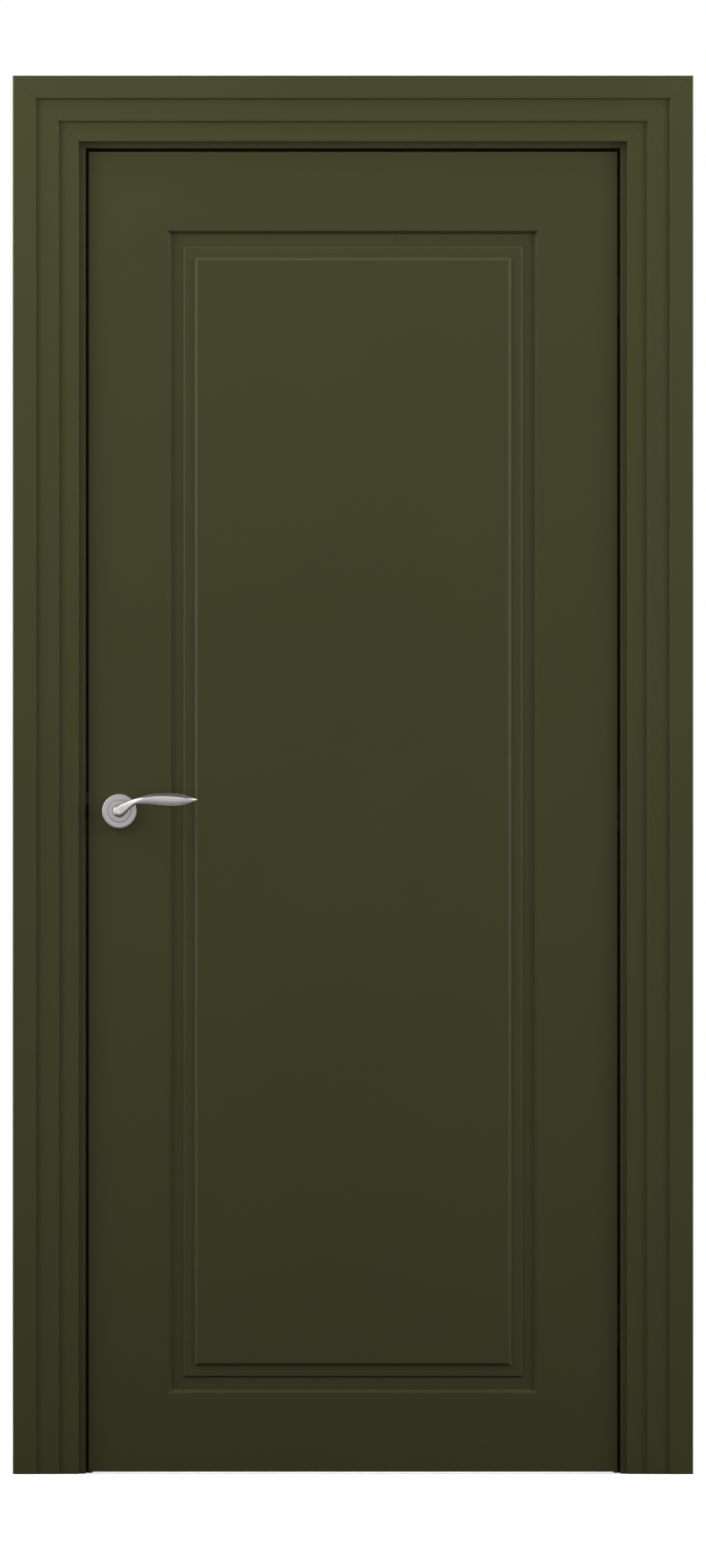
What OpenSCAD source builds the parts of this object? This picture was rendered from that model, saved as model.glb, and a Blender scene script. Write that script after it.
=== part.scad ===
// Interior door: a fielded-panel leaf on concealed hinges, in its frame with stepped casings.
// The origin is the middle of the doorway at floor level, at mid-thickness of the leaf.
// X runs toward the hinges, Y through the wall to the stop side, Z up.

/* [Leaf] */
// Width of the leaf
leaf_w = 800; // [700:10:1000]
// Height of the leaf
leaf_h = 2000; // [1900:10:2200]
// Thickness of the leaf
leaf_t = 40; // [38:1:46]
// Thickness of each milled skin
skin_t = 9; // [8:0.5:10]
// Width of the two edge stiles inside the leaf
stile_w = 38; // [36:1:60]
// Height of the top rail inside the leaf
top_rail_h = 60; // [40:5:110]
// Height of the bottom rail inside the leaf
bottom_rail_h = 100; // [60:5:150]

/* [Panel] */
// Distance from the leaf's edge to the milled recess
panel_in = 119.5; // [90:0.5:160]
// Depth of the recess floor below the face
recess_d = 6; // [4:0.1:6.5]
// Width of the recess's outer chamfer
chamfer_w = 5; // [3:0.5:8]
// Width of the flat recess floor
floor_w = 18.5; // [10:0.5:30]
// Rise of the small step
step_h = 2.2; // [1:0.1:2.5]
// Width of the small step's slope
step_w = 2.5; // [1:0.5:5]
// Width of the flat between step and bevel
flat_w = 15; // [8:0.5:25]
// Width of the bevel up to the field
bevel_w = 4; // [3:0.5:8]
// Drop of the raised field below the leaf's face
field_drop = 0.2; // [0:0.1:1.5]

/* [Frame] */
// Gap between the leaf's sides and the jambs
side_gap = 5; // [3:0.5:6]
// Gap between the leaf's top and the head
top_gap = 5; // [3:0.5:8]
// Gap under the leaf
floor_gap = 3; // [2:1:12]
// Thickness of the jambs and the head
jamb_t = 40; // [38:1:60]
// Depth of the jambs through the wall
jamb_d = 75; // [70:1:160]
// Chamfer on the frame's front inner arris
arris = 1.5; // [0.5:0.5:3]
// How far the planted stops stand in from the jambs
stop_p = 10; // [8:1:14]
// Space between the leaf's back and the stops, filled by the seal
seal_space = 3; // [2.5:0.5:5]
// Width of the seal's bead
seal_w = 7; // [6:0.5:7.5]

/* [Casing] */
// Strip of jamb left showing beside the casing
reveal = 10; // [5:1:14]
// Width of the casing
casing_w = 100; // [90:1:130]
// Thickness of the casing at its outer fascia
casing_t = 22; // [19:0.5:26]
// Drop from one fascia to the next
fascia_step = 4; // [2:0.5:5]
// Width of the inner fascia
fascia_in_w = 30.5; // [22:0.5:40]
// Width of the middle fascia
fascia_mid_w = 34.5; // [22:0.5:40]
// Chamfer on each fascia's edge
fascia_arris = 1; // [0.5:0.25:1.5]
// Width of the casing's tongue
tongue_w = 4; // [3:0.5:5]
// Length of the casing's tongue in the jamb
tongue_l = 8; // [5:1:10]

/* [Lever and rose] */
// Height of the spindle above the floor
spindle_z = 1004; // [900:1:1100]
// Distance from the leaf's edge to the spindle
backset = 46; // [44:1:60]
// Reach of the lever from the spindle to its tip
lever_l = 120.4; // [100:0.1:140]
// How far the grip stands off the leaf
lever_out = 60; // [50:1:70]
// Rise of the grip above the spindle
lever_rise = 17.4; // [0:0.1:22]
// Half-height of the grip at its widest
grip_h = 9.9; // [8:0.1:13]
// Half-height of the lever where it is thinnest
bar_h = 4.8; // [4:0.1:6]
// Half-depth of the grip
grip_d = 5.5; // [4:0.5:8]
// Radius of the lever's neck
neck_r = 8.5; // [8:0.1:9]
// Radius of the rose
rose_r = 26; // [25:0.5:30]
// Height of the rose off the leaf
rose_t = 9; // [8:0.5:12]
// Side of the square spindle
spindle_w = 8; // [7:1:8]
// Angle that the lever turns through
lever_turn = 42; // [30:1:45]

/* [Latch] */
// Throw of the latch bolt
latch_throw = 11; // [9:0.5:12]
// Height of the latch bolt
latch_h = 18; // [14:1:22]
// Thickness of the latch bolt through the leaf
latch_t = 11; // [9:0.5:11]
// Depth of the latch case behind the face plate
case_d = 72; // [70:1:85]
// Thickness of the latch case through the leaf
case_t = 15; // [14:0.5:16]
// Wall of the latch case
case_wall = 1.5; // [1:0.1:1.5]
// Length of the latch's face plate
forend_l = 200; // [190:5:235]
// Width of the latch's face plate
forend_w = 20; // [18:1:20]
// Thickness of the latch's face plate
forend_t = 3; // [2:0.5:3]
// Length of the strike plate
strike_l = 170; // [150:5:200]
// Width of the strike plate
strike_w = 24; // [22:1:28]
// Thickness of the strike plate
strike_t = 2; // [1.5:0.5:3]

/* [Hinges] */
// Distance from the leaf's ends to the end hinges' centres
hinge_end = 220; // [150:10:300]
// Width of a hinge's face plate
hinge_w = 28; // [27:0.5:29]
// Length of a hinge's face plate
hinge_l = 150; // [140:5:180]
// Thickness of a hinge's face plate
hinge_plate_t = 3.5; // [3:0.5:4]
// Length of a hinge's body behind its plate
hinge_body_l = 104; // [96:1:108]
// Height of the stack of curved arms
arm_stack_h = 66; // [50:1:68]
// Thickness of the curved arms
arm_t = 5.6; // [4:0.1:6]
// Distance of the swing axis in front of the leaf's face
axis_out = 3; // [2:0.5:4]
// Widest opening angle of the leaf
swing = 105; // [90:1:110]

/* [Hidden] */
$fn = 64;

// Running clearance between moving pieces, and fitting clearance round let-in pieces.
run = 0.3;
fit = 0.2;
// Cuts run past the faces they open by this much.
over = 1;

half_t = leaf_t / 2;
core_t = leaf_t - 2 * skin_t;
leaf_z0 = floor_gap;
leaf_z1 = floor_gap + leaf_h;
leaf_mid_z = (leaf_z0 + leaf_z1) / 2;
door_x = leaf_w / 2 + side_gap;
head_z = leaf_z1 + top_gap;
jamb_x = door_x + jamb_t;
frame_y0 = -half_t;
frame_y1 = frame_y0 + jamb_d;
stop_y0 = half_t + seal_space;
frame_top = head_z + jamb_t;
casing_x = door_x + reveal;
casing_z = head_z + reveal;
// Distance from the casing's inner edge to its tongue, which sits near the jamb's outer face.
tongue_in = jamb_t - reveal - 3 - tongue_w;

spindle_x = -leaf_w / 2 + backset;
// The latch slides in a straight line and the follower's nose swings, so the latch's middle
// lies above the spindle by the nose's reach.
hub_r = spindle_w / 2 * sqrt(2) + 3.8;
nose_r = 2.5;
nose_c = latch_throw / (lever_turn * PI / 180) * 1.033;
tail_h = 4.6;
tail_z = nose_c + nose_r + run + 0.1;
latch_z = spindle_z + tail_z + tail_h / 2 - 0.7;
// The case reaches this far below the spindle, and this far above the bolt.
case_below = 40;
case_above = 18;
case_z0 = spindle_z - case_below;
case_z1 = latch_z + latch_h / 2 + case_above;
forend_rise = 10;
forend_z = spindle_z + forend_rise;
rose_bolt_x = 19;
rose_bolt_r = 2;

axis_x = leaf_w / 2 + side_gap / 2;
axis_y = -half_t - axis_out;
// The hinge's middle plane lies this far behind its virtual axis.
hinge_set = 23;
hinge_wall = 2.5;
cav_ro = hinge_set + hinge_w / 2 - hinge_wall;
arm_ro = cav_ro - run;
arm_ri = arm_ro - arm_t;
cav_ri = arm_ri - run;
cav_a = asin((hinge_set - hinge_w / 2 + hinge_wall) / cav_ri);
arm_a = cav_a + 1;
hinge_depth = cav_ro * cos(cav_a) + hinge_wall - side_gap / 2;
hinge_screw_z = (hinge_l + hinge_body_l) / 4 - 1;
hinge_z = [leaf_z0 + hinge_end, leaf_mid_z, leaf_z1 - hinge_end];
blades = 3;

paint = [0.29, 0.29, 0.19];
timber = [0.80, 0.66, 0.46];
board = [0.72, 0.60, 0.44];
nickel = [0.68, 0.66, 0.65];
steel = [0.60, 0.60, 0.61];
black = [0.09, 0.09, 0.08];

// Shared shapes

// A rounded-end bar outline, its length along X.
module slot2d(l, w) {
    square([l - w, w], center = true);
    for (s = [-1, 1])
        translate([s * (l - w) / 2, 0]) circle(w / 2);
}

// The same bar as a plate, its length along Z, from x = 0 to x = t.
module plate_x(l, w, t) {
    rotate([0, 90, 0]) linear_extrude(t) slot2d(l, w);
}

// A box between two corners.
module block(a, b) {
    translate(a) cube(b - a);
}

// A countersunk screw that points down from z = 0.
module screw(l, r, head_r) {
    head_h = head_r - r;
    difference() {
        rotate_extrude() polygon([
            [0, -l], [r, -l + 2 * r], [r, -head_h], [head_r, 0], [0, 0]
        ]);
        for (a = [0, 90])
            rotate([0, 0, a]) translate([-head_r * 0.5, -0.45, -1.6])
                cube([head_r, 0.9, 1.6 + over]);
    }
}

// The hole that takes such a screw.
module screw_hole(l, r, head_r) {
    c = 0.1;
    rotate_extrude() polygon([
        [0, -l - c], [r + c, -l + 2 * r - c], [r + c, r - head_r - c],
        [head_r + c, 0], [head_r + c, over], [0, over]
    ]);
}

// Frame

// Profile of a side jamb, inner face at x = 0.
module jamb_profile() {
    polygon([
        [0, frame_y0 + arris], [arris, frame_y0], [jamb_t, frame_y0],
        [jamb_t, frame_y1], [0, frame_y1]
    ]);
}

// The grooves that take the casings' tongues, round the whole frame.
module tongue_grooves() {
    g = tongue_in - fit / 2;
    w = tongue_w + fit;
    for (y = [[frame_y0 - over, frame_y0 + tongue_l + fit], [frame_y1 - tongue_l - fit, frame_y1 + over]]) {
        for (s = [0, 1])
            mirror([s, 0, 0])
                block([casing_x + g, y[0], -over], [casing_x + g + w, y[1], casing_z + g + w]);
        block([-casing_x - g - w, y[0], casing_z + g], [casing_x + g + w, y[1], casing_z + g + w]);
    }
}

module jamb_side() {
    difference() {
        translate([door_x, 0, 0]) {
            linear_extrude(head_z) jamb_profile();
            block([0, frame_y0, head_z - 0.01], [jamb_t, frame_y1, jamb_t + head_z]);
        }
        tongue_grooves();
        jamb_fixing_holes();
        frame_screw_places() screw_hole(frame_screw_l, frame_screw_r, frame_screw_head);
    }
}

// Holes for the fixings into the wall, behind the planted stops.
fixing_r = 4;
fixing_z0 = 179;
fixing_n = 4;
fixing_pitch = (head_z - 2 * fixing_z0) / (fixing_n - 1);
fixing_y = (stop_y0 + frame_y1) / 2;
module jamb_fixing_holes() {
    for (i = [0 : fixing_n - 1])
        translate([door_x - over, fixing_y, fixing_z0 + i * fixing_pitch])
            rotate([0, 90, 0]) cylinder(h = jamb_t + 2 * over, r = fixing_r);
}

// The corner screws bite this far into the head.
frame_screw_bite = 45;
frame_screw_l = jamb_t + frame_screw_bite;
frame_screw_r = 2.5;
frame_screw_head = 5;
module frame_screw_places() {
    for (y = [frame_y0 + jamb_d * 0.3, frame_y0 + jamb_d * 0.7])
        translate([jamb_x, y, head_z + jamb_t / 2]) rotate([0, 90, 0]) children();
}

module jamb_left() {
    color(paint) mirror([1, 0, 0]) difference() {
        jamb_side();
        strike_cut();
    }
}

module jamb_right() {
    color(paint) difference() {
        jamb_side();
        for (z = hinge_z)
            hinge_at(z) hinge_mortise();
    }
}

module jamb_head() {
    color(paint) difference() {
        rotate([90, 0, 90]) translate([0, head_z, -door_x]) linear_extrude(2 * door_x) polygon([
            [frame_y0 + arris, 0], [frame_y1, 0], [frame_y1, jamb_t],
            [frame_y0, jamb_t], [frame_y0, arris]
        ]);
        tongue_grooves();
        for (s = [0, 1])
            mirror([s, 0, 0]) frame_screw_places()
                screw_hole(frame_screw_l, frame_screw_r, frame_screw_head);
    }
}

module frame_screws() {
    color(steel) for (s = [0, 1])
        mirror([s, 0, 0]) frame_screw_places()
            screw(frame_screw_l, frame_screw_r, frame_screw_head);
}

// Planted stops with a groove for the seal's stem.
stem_w = 2.4;
stem_l = 7;
stem_in = stop_p / 2;
module stop_side() {
    difference() {
        block([door_x - stop_p, stop_y0, 0], [door_x, frame_y1, head_z]);
        block([door_x - stem_in - stem_w / 2 - fit / 2, stop_y0 - over, -over],
              [door_x - stem_in + stem_w / 2 + fit / 2, stop_y0 + stem_l + fit, head_z + over]);
    }
}

module stop_left() { color(paint) mirror([1, 0, 0]) stop_side(); }
module stop_right() { color(paint) stop_side(); }
module stop_head() {
    x = door_x - stop_p;
    color(paint) difference() {
        block([-x, stop_y0, head_z - stop_p], [x, frame_y1, head_z]);
        block([-x - over, stop_y0 - over, head_z - stem_in - stem_w / 2 - fit / 2],
              [x + over, stop_y0 + stem_l + fit, head_z - stem_in + stem_w / 2 + fit / 2]);
    }
}

// Section of the rubber seal: a flat bead that fills the space before the stop, and a stem.
// Its coordinates are the distance from the jamb and the distance behind the leaf.
module seal_bead() {
    r = (seal_space - run) / 2;
    translate([stem_in - seal_w / 2, run]) {
        translate([r, r]) circle(r);
        translate([seal_w - r, r]) circle(r);
        translate([r, 0]) square([seal_w - 2 * r, 2 * r]);
    }
}
module seal_stem() {
    translate([stem_in - stem_w / 2, seal_space - 0.5]) square([stem_w, stem_l + 0.5 - fit]);
    translate([stem_in - stem_w / 2 - fit / 4, seal_space + stem_l * 0.6])
        square([stem_w + fit / 2, 1]);
}

module seal_side() {
    translate([door_x, half_t, 0]) mirror([1, 0, 0]) linear_extrude(head_z) {
        seal_bead();
        seal_stem();
    }
}

module seal_left() { color(black) mirror([1, 0, 0]) seal_side(); }
module seal_right() { color(black) seal_side(); }
// The head's bead butts the side beads, and its stem ends where the side stops begin.
module seal_head() {
    x = door_x - stem_in - seal_w / 2 - fit;
    stem_x = door_x - stop_p - fit;
    color(black) translate([0, half_t, head_z]) rotate([0, 90, 0]) {
        linear_extrude(2 * x, center = true) seal_bead();
        linear_extrude(2 * stem_x, center = true) seal_stem();
    }
}

// Casings

// Section of a casing: distance from its inner edge, height off the jamb's face.
module casing_profile() {
    t1 = casing_t - 2 * fascia_step;
    t2 = casing_t - fascia_step;
    w1 = fascia_in_w;
    w2 = fascia_in_w + fascia_mid_w;
    a = fascia_arris;
    polygon([
        [0, 0], [0, t1 - a], [a, t1],
        [w1 - a / 4, t1], [w1, t2 - a], [w1 + a, t2],
        [w2 - a / 4, t2], [w2, casing_t - a], [w2 + a, casing_t],
        [casing_w - 1.5 * a, casing_t], [casing_w, casing_t - 1.5 * a], [casing_w, 0],
        [tongue_in + tongue_w, 0], [tongue_in + tongue_w, -tongue_l],
        [tongue_in, -tongue_l], [tongue_in, 0]
    ]);
}

// A wedge-shaped cutter that takes away everything above the right-hand mitre.
module mitre_cut(side) {
    far = casing_w + reveal + jamb_t;
    translate([casing_x, 0, casing_z]) rotate([90, 0, 0]) translate([0, 0, -jamb_d])
        linear_extrude(2 * jamb_d + 2 * casing_t) polygon(
            side == "above" ? [[-far, -far], [far, far], [-far, far]]
                            : [[-far, -far], [far, far], [far, -far]]
        );
}

module casing_side() {
    difference() {
        translate([casing_x, frame_y0, 0]) mirror([0, 1, 0])
            linear_extrude(casing_z + casing_w) casing_profile();
        mitre_cut("above");
    }
}

module casing_head() {
    x = casing_x + casing_w;
    difference() {
        translate([-x, frame_y0, casing_z]) rotate([90, 0, 90])
            linear_extrude(2 * x) rotate(90) casing_profile();
        mitre_cut("below");
        mirror([1, 0, 0]) mitre_cut("below");
    }
}

// The same casings on the wall's other side.
module to_back() {
    translate([0, frame_y0 + frame_y1, 0]) mirror([0, 1, 0]) children();
}

module casing_front_left() { color(paint) mirror([1, 0, 0]) casing_side(); }
module casing_front_right() { color(paint) casing_side(); }
module casing_front_head() { color(paint) casing_head(); }
module casing_back_left() { color(paint) to_back() mirror([1, 0, 0]) casing_side(); }
module casing_back_right() { color(paint) to_back() casing_side(); }
module casing_back_head() { color(paint) to_back() casing_head(); }

// Strike, built on the right and mirrored to the left jamb

strike_screw_z = strike_l / 2 - 13;
strike_hole_t = latch_t + 4;
strike_hole_h = latch_h + 4;
box_d = 14;
box_wall = 1.2;
plate_screw_l = 25;
plate_screw_r = 1.8;
plate_screw_head = 3.6;

module strike_screw_places() {
    for (s = [-1, 1])
        translate([door_x, 0, latch_z + s * strike_screw_z]) rotate([0, -90, 0]) children();
}

module strike_cut() {
    translate([door_x - over, 0, latch_z])
        plate_x(strike_l + fit, strike_w + fit, strike_t + over);
    block([door_x, -strike_hole_t / 2 - box_wall - fit, latch_z - strike_hole_h / 2 - box_wall - fit],
          [door_x + strike_t + box_d + fit, strike_hole_t / 2 + box_wall + fit,
           latch_z + strike_hole_h / 2 + box_wall + fit]);
    strike_screw_places() screw_hole(plate_screw_l, plate_screw_r, plate_screw_head);
}

module strike_plate() {
    color(nickel) mirror([1, 0, 0]) difference() {
        translate([door_x, 0, latch_z]) plate_x(strike_l, strike_w, strike_t);
        block([door_x - over, -strike_hole_t / 2, latch_z - strike_hole_h / 2],
              [door_x + strike_t + over, strike_hole_t / 2, latch_z + strike_hole_h / 2]);
        strike_screw_places() screw_hole(plate_screw_l, plate_screw_r, plate_screw_head);
    }
}

module strike_box() {
    y = strike_hole_t / 2;
    z = strike_hole_h / 2;
    x = door_x + strike_t;
    color(black) mirror([1, 0, 0]) difference() {
        block([x, -y - box_wall, latch_z - z - box_wall], [x + box_d, y + box_wall, latch_z + z + box_wall]);
        block([x - over, -y, latch_z - z], [x + box_d - box_wall, y, latch_z + z]);
    }
}

module strike_screws() {
    color(nickel) mirror([1, 0, 0]) strike_screw_places()
        screw(plate_screw_l, plate_screw_r, plate_screw_head);
}

// Concealed hinges

// Children are drawn about the virtual axis at one hinge's height, frame side at +X.
module hinge_at(z) { translate([axis_x, axis_y, z]) children(); }

module hinge_outline(c) {
    translate([side_gap / 2, hinge_set, 0]) {
        plate_x(hinge_l + c, hinge_w + c, hinge_plate_t + c / 2);
        plate_x(hinge_body_l + c, hinge_w - 1 + c, hinge_depth + c / 2);
    }
}

module hinge_screw_places() {
    for (s = [-1, 1])
        translate([side_gap / 2, hinge_set, s * hinge_screw_z]) rotate([0, -90, 0]) children();
}

module hinge_mortise() {
    hinge_outline(fit);
    translate([side_gap / 2 - over, hinge_set, 0]) plate_x(hinge_l + fit, hinge_w + fit, 2 * over);
    hinge_screw_places() screw_hole(plate_screw_l, plate_screw_r, plate_screw_head);
}

// A hinge body: plate and case in one, with the curved channel that the arms slide in.
module hinge_body() {
    difference() {
        hinge_outline(0);
        rotate([0, 0, cav_a]) rotate_extrude(angle = 90 - cav_a)
            translate([cav_ri, -arm_stack_h / 2 - run])
                square([cav_ro - cav_ri, arm_stack_h + 2 * run]);
        hinge_screw_places() screw_hole(plate_screw_l, plate_screw_r, plate_screw_head);
    }
}

// The stack of curved arms that bridges the gap, free to slide in both bodies.
module hinge_arms() {
    pitch = arm_stack_h / blades;
    for (k = [0 : blades - 1])
        rotate([0, 0, arm_a]) rotate_extrude(angle = 180 - 2 * arm_a)
            translate([arm_ri, -arm_stack_h / 2 + k * pitch])
                square([arm_t, pitch - (k < blades - 1 ? run : 0)]);
}

module hinge_frame(i) { color(nickel) hinge_at(hinge_z[i]) hinge_body(); }
module hinge_leaf(i) { color(nickel) hinge_at(hinge_z[i]) mirror([1, 0, 0]) hinge_body(); }
module hinge_link(i) { color(black) hinge_at(hinge_z[i]) hinge_arms(); }

module hinge_frame_screws() {
    color(nickel) for (z = hinge_z)
        hinge_at(z) hinge_screw_places() screw(plate_screw_l, plate_screw_r, plate_screw_head);
}
module hinge_leaf_screws() {
    color(nickel) for (z = hinge_z)
        hinge_at(z) mirror([1, 0, 0]) hinge_screw_places()
            screw(plate_screw_l, plate_screw_r, plate_screw_head);
}

// Leaf

// A block with four sloping sides: w0 by h0 at y = 0, w1 by h1 at y = t.
module frustum(w0, h0, w1, h1, t) {
    intersection() {
        linear_extrude(max(h0, h1), center = true)
            polygon([[-w0 / 2, 0], [w0 / 2, 0], [w1 / 2, t], [-w1 / 2, t]]);
        rotate([90, 0, 90]) linear_extrude(max(w0, w1), center = true)
            polygon([[0, -h0 / 2], [0, h0 / 2], [t, h1 / 2], [t, -h1 / 2]]);
    }
}

// Slope block between two distances in from the leaf's edge, y from a to b.
module slope(in0, in1, a, b) {
    translate([0, a, leaf_mid_z])
        frustum(leaf_w - 2 * in0, leaf_h - 2 * in0, leaf_w - 2 * in1, leaf_h - 2 * in1, b - a);
}

// The milled ring round the field, in a skin whose face is at y = 0 and back at y = skin_t.
module panel_ring() {
    e1 = panel_in + chamfer_w;
    e2 = e1 + floor_w;
    e3 = e2 + step_w;
    e4 = e3 + flat_w;
    e5 = e4 + bevel_w;
    step_y = recess_d - step_h;
    difference() {
        union() {
            slope(panel_in, e1, 0, recess_d);
            slope(panel_in, panel_in, -over, 0);
        }
        slope(e3, e2, step_y, recess_d);
        slope(e2, e2, recess_d, recess_d + over);
        slope(e5, e4, field_drop, step_y);
    }
    if (field_drop > 0)
        slope(e5, e5, -over, field_drop);
}

module skin() {
    difference() {
        block([-leaf_w / 2, 0, leaf_z0], [leaf_w / 2, skin_t, leaf_z1]);
        panel_ring();
        translate([spindle_x, skin_t / 2, spindle_z]) rotate([90, 0, 0]) {
            cylinder(h = skin_t + 2 * over, r = hub_r + 1, center = true);
            for (s = [-1, 1])
                translate([s * rose_bolt_x, 0, 0])
                    cylinder(h = skin_t + 2 * over, r = rose_bolt_r + 0.5, center = true);
        }
    }
}

module leaf_cuts() {
    for (z = hinge_z)
        hinge_at(z) mirror([1, 0, 0]) hinge_mortise();
}

module skin_front() {
    color(paint) difference() {
        translate([0, -half_t, 0]) skin();
        leaf_cuts();
    }
}

module skin_back() {
    color(paint) difference() {
        mirror([0, 1, 0]) translate([0, -half_t, 0]) skin();
        leaf_cuts();
    }
}

// Everything let into the lock edge, cut from the stile and the block behind it.
module lock_cuts() {
    x = -leaf_w / 2;
    translate([x - over, 0, forend_z]) plate_x(forend_l + fit, forend_w + fit, forend_t + over);
    block([x, -case_t / 2 - fit, case_z0 - fit], [x + forend_t + case_d + fit, case_t / 2 + fit, case_z1 + fit]);
    translate([spindle_x, 0, spindle_z]) rotate([90, 0, 0]) {
        cylinder(h = leaf_t, r = hub_r + 1, center = true);
        for (s = [-1, 1])
            translate([s * rose_bolt_x, 0, 0]) cylinder(h = leaf_t, r = rose_bolt_r + 0.5, center = true);
    }
    forend_screw_places() screw_hole(plate_screw_l, plate_screw_r, plate_screw_head);
}

forend_screw_z = forend_l / 2 - 12;
module forend_screw_places() {
    for (s = [-1, 1])
        translate([-leaf_w / 2, 0, forend_z + s * forend_screw_z]) rotate([0, -90, 0]) children();
}

module stile_lock() {
    x = -leaf_w / 2;
    color(timber) difference() {
        block([x, -core_t / 2, leaf_z0], [x + stile_w, core_t / 2, leaf_z1]);
        lock_cuts();
    }
}

module stile_hinge() {
    x = leaf_w / 2;
    color(timber) difference() {
        block([x - stile_w, -core_t / 2, leaf_z0], [x, core_t / 2, leaf_z1]);
        leaf_cuts();
    }
}

rail_x = leaf_w / 2 - stile_w;
module rail_top() {
    color(timber) block([-rail_x, -core_t / 2, leaf_z1 - top_rail_h], [rail_x, core_t / 2, leaf_z1]);
}
module rail_bottom() {
    color(timber) block([-rail_x, -core_t / 2, leaf_z0], [rail_x, core_t / 2, leaf_z0 + bottom_rail_h]);
}

// The lock block runs this far behind the spindle, and this far past the face plate's ends.
block_behind = 60;
block_past = 40;
block_w = backset + block_behind - stile_w;
block_z0 = forend_z - forend_l / 2 - block_past;
block_z1 = forend_z + forend_l / 2 + block_past;
module lock_block() {
    color(timber) difference() {
        block([-rail_x, -core_t / 2, block_z0], [-rail_x + block_w, core_t / 2, block_z1]);
        lock_cuts();
    }
}

module core() {
    color(board) difference() {
        block([-rail_x, -core_t / 2, leaf_z0 + bottom_rail_h], [rail_x, core_t / 2, leaf_z1 - top_rail_h]);
        block([-rail_x - over, -core_t / 2 - over, block_z0], [-rail_x + block_w, core_t / 2 + over, block_z1]);
    }
}

// Latch

case_x0 = -leaf_w / 2 + forend_t;
module latch_window(c) {
    block([-leaf_w / 2 - over, -latch_t / 2 - c, latch_z - latch_h / 2 - c],
          [case_x0 + case_wall + over, latch_t / 2 + c, latch_z + latch_h / 2 + c]);
}

module latch_case() {
    w = case_wall;
    color(steel) difference() {
        block([case_x0, -case_t / 2, case_z0], [case_x0 + case_d, case_t / 2, case_z1]);
        block([case_x0 + w, -case_t / 2 + w, case_z0 + w],
              [case_x0 + case_d - w, case_t / 2 - w, case_z1 - w]);
        latch_window(run);
        translate([spindle_x, 0, spindle_z]) rotate([90, 0, 0]) {
            cylinder(h = case_t + 2 * over, r = hub_r + run, center = true);
            for (s = [-1, 1])
                translate([s * rose_bolt_x, 0, 0])
                    cylinder(h = case_t + 2 * over, r = rose_bolt_r + 0.4, center = true);
        }
    }
}

module latch_forend() {
    color(nickel) difference() {
        translate([-leaf_w / 2, 0, forend_z]) plate_x(forend_l, forend_w, forend_t);
        latch_window(run);
        forend_screw_places() screw_hole(plate_screw_l, plate_screw_r, plate_screw_head);
    }
}

module latch_screws() {
    color(nickel) forend_screw_places() screw(plate_screw_l, plate_screw_r, plate_screw_head);
}

hook_t = 4;
// Bevelled bolt, with a tail whose hook the follower's nose draws back.
module latch_bolt() {
    x0 = -leaf_w / 2 - latch_throw;
    x1 = -leaf_w / 2 + 15;
    hook_x = spindle_x + nose_r + run + 0.1;
    color(black) {
        translate([0, 0, latch_z - latch_h / 2]) linear_extrude(latch_h) polygon([
            [x0, -latch_t / 2], [x1, -latch_t / 2], [x1, latch_t / 2],
            [x0 + latch_throw - 1, latch_t / 2], [x0, -latch_t / 2 + 1.5]
        ]);
        block([x1 - 0.01, -3, spindle_z + tail_z], [hook_x + hook_t, 3, spindle_z + tail_z + tail_h]);
        block([hook_x, -3, spindle_z + hub_r + 1], [hook_x + hook_t, 3, spindle_z + tail_z + 0.01]);
    }
}

// Compression spring between the hook and the case's rear wall.
latch_spring_r = 3.2;
latch_wire_r = 0.5;
latch_spring_turns = 6;
module latch_spring() {
    x0 = spindle_x + nose_r + run + 0.1 + hook_t;
    x1 = case_x0 + case_d - case_wall;
    gap = 0.1;
    pitch = (x1 - x0 - 2 * gap - 2 * latch_wire_r) / latch_spring_turns;
    z = spindle_z + tail_z + tail_h - latch_spring_r - latch_wire_r;
    color(steel) translate([x0 + gap, 0, z]) rotate([0, 90, 0])
        coil(latch_spring_r, latch_wire_r, pitch, latch_spring_turns, 14);
}

// The follower: a hub with a square hole and a nose that points up.
module follower() {
    color(steel) translate([spindle_x, 0, spindle_z]) rotate([90, 0, 0]) difference() {
        union() {
            cylinder(h = case_t - 1, r = hub_r, center = true);
            translate([0, 0, 0]) linear_extrude(latch_t - 1, center = true) {
                translate([-nose_r, 0]) square([2 * nose_r, nose_c]);
                translate([0, nose_c]) circle(nose_r);
            }
        }
        cube([spindle_w + fit, spindle_w + fit, case_t + 2 * over], center = true);
    }
}

// Roses and levers, drawn with the leaf's face at z = 0, outward up, and Y as the world's Z

module on_front() {
    translate([spindle_x, -half_t, spindle_z]) rotate([90, 0, 0]) children();
}
module on_back() {
    mirror([0, 1, 0]) on_front() children();
}

rose_wall = 1.8;
collar_r = 16.5;
module rose_cover() {
    t = rose_t;
    r = rose_r;
    c = collar_r;
    rotate_extrude() polygon([
        [neck_r + run, t], [c - 0.9, t], [c - 0.5, t - 0.4], [c - 0.3, t - 1.1], [c + 0.4, t - 1.1],
        [c + 0.6, t - 0.6], [r - 2.2, t - 0.6], [r - 1.7, t - 1.1], [r - 1.3, t - 0.5],
        [r - 0.8, t - 0.5], [r - 0.3, t - 0.9], [r, t - 1.5], [r, 0],
        [r - 1.6, 0], [r - 1.6, t - rose_wall], [neck_r + run, t - rose_wall]
    ]);
}

base_t = rose_t - rose_wall;
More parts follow.
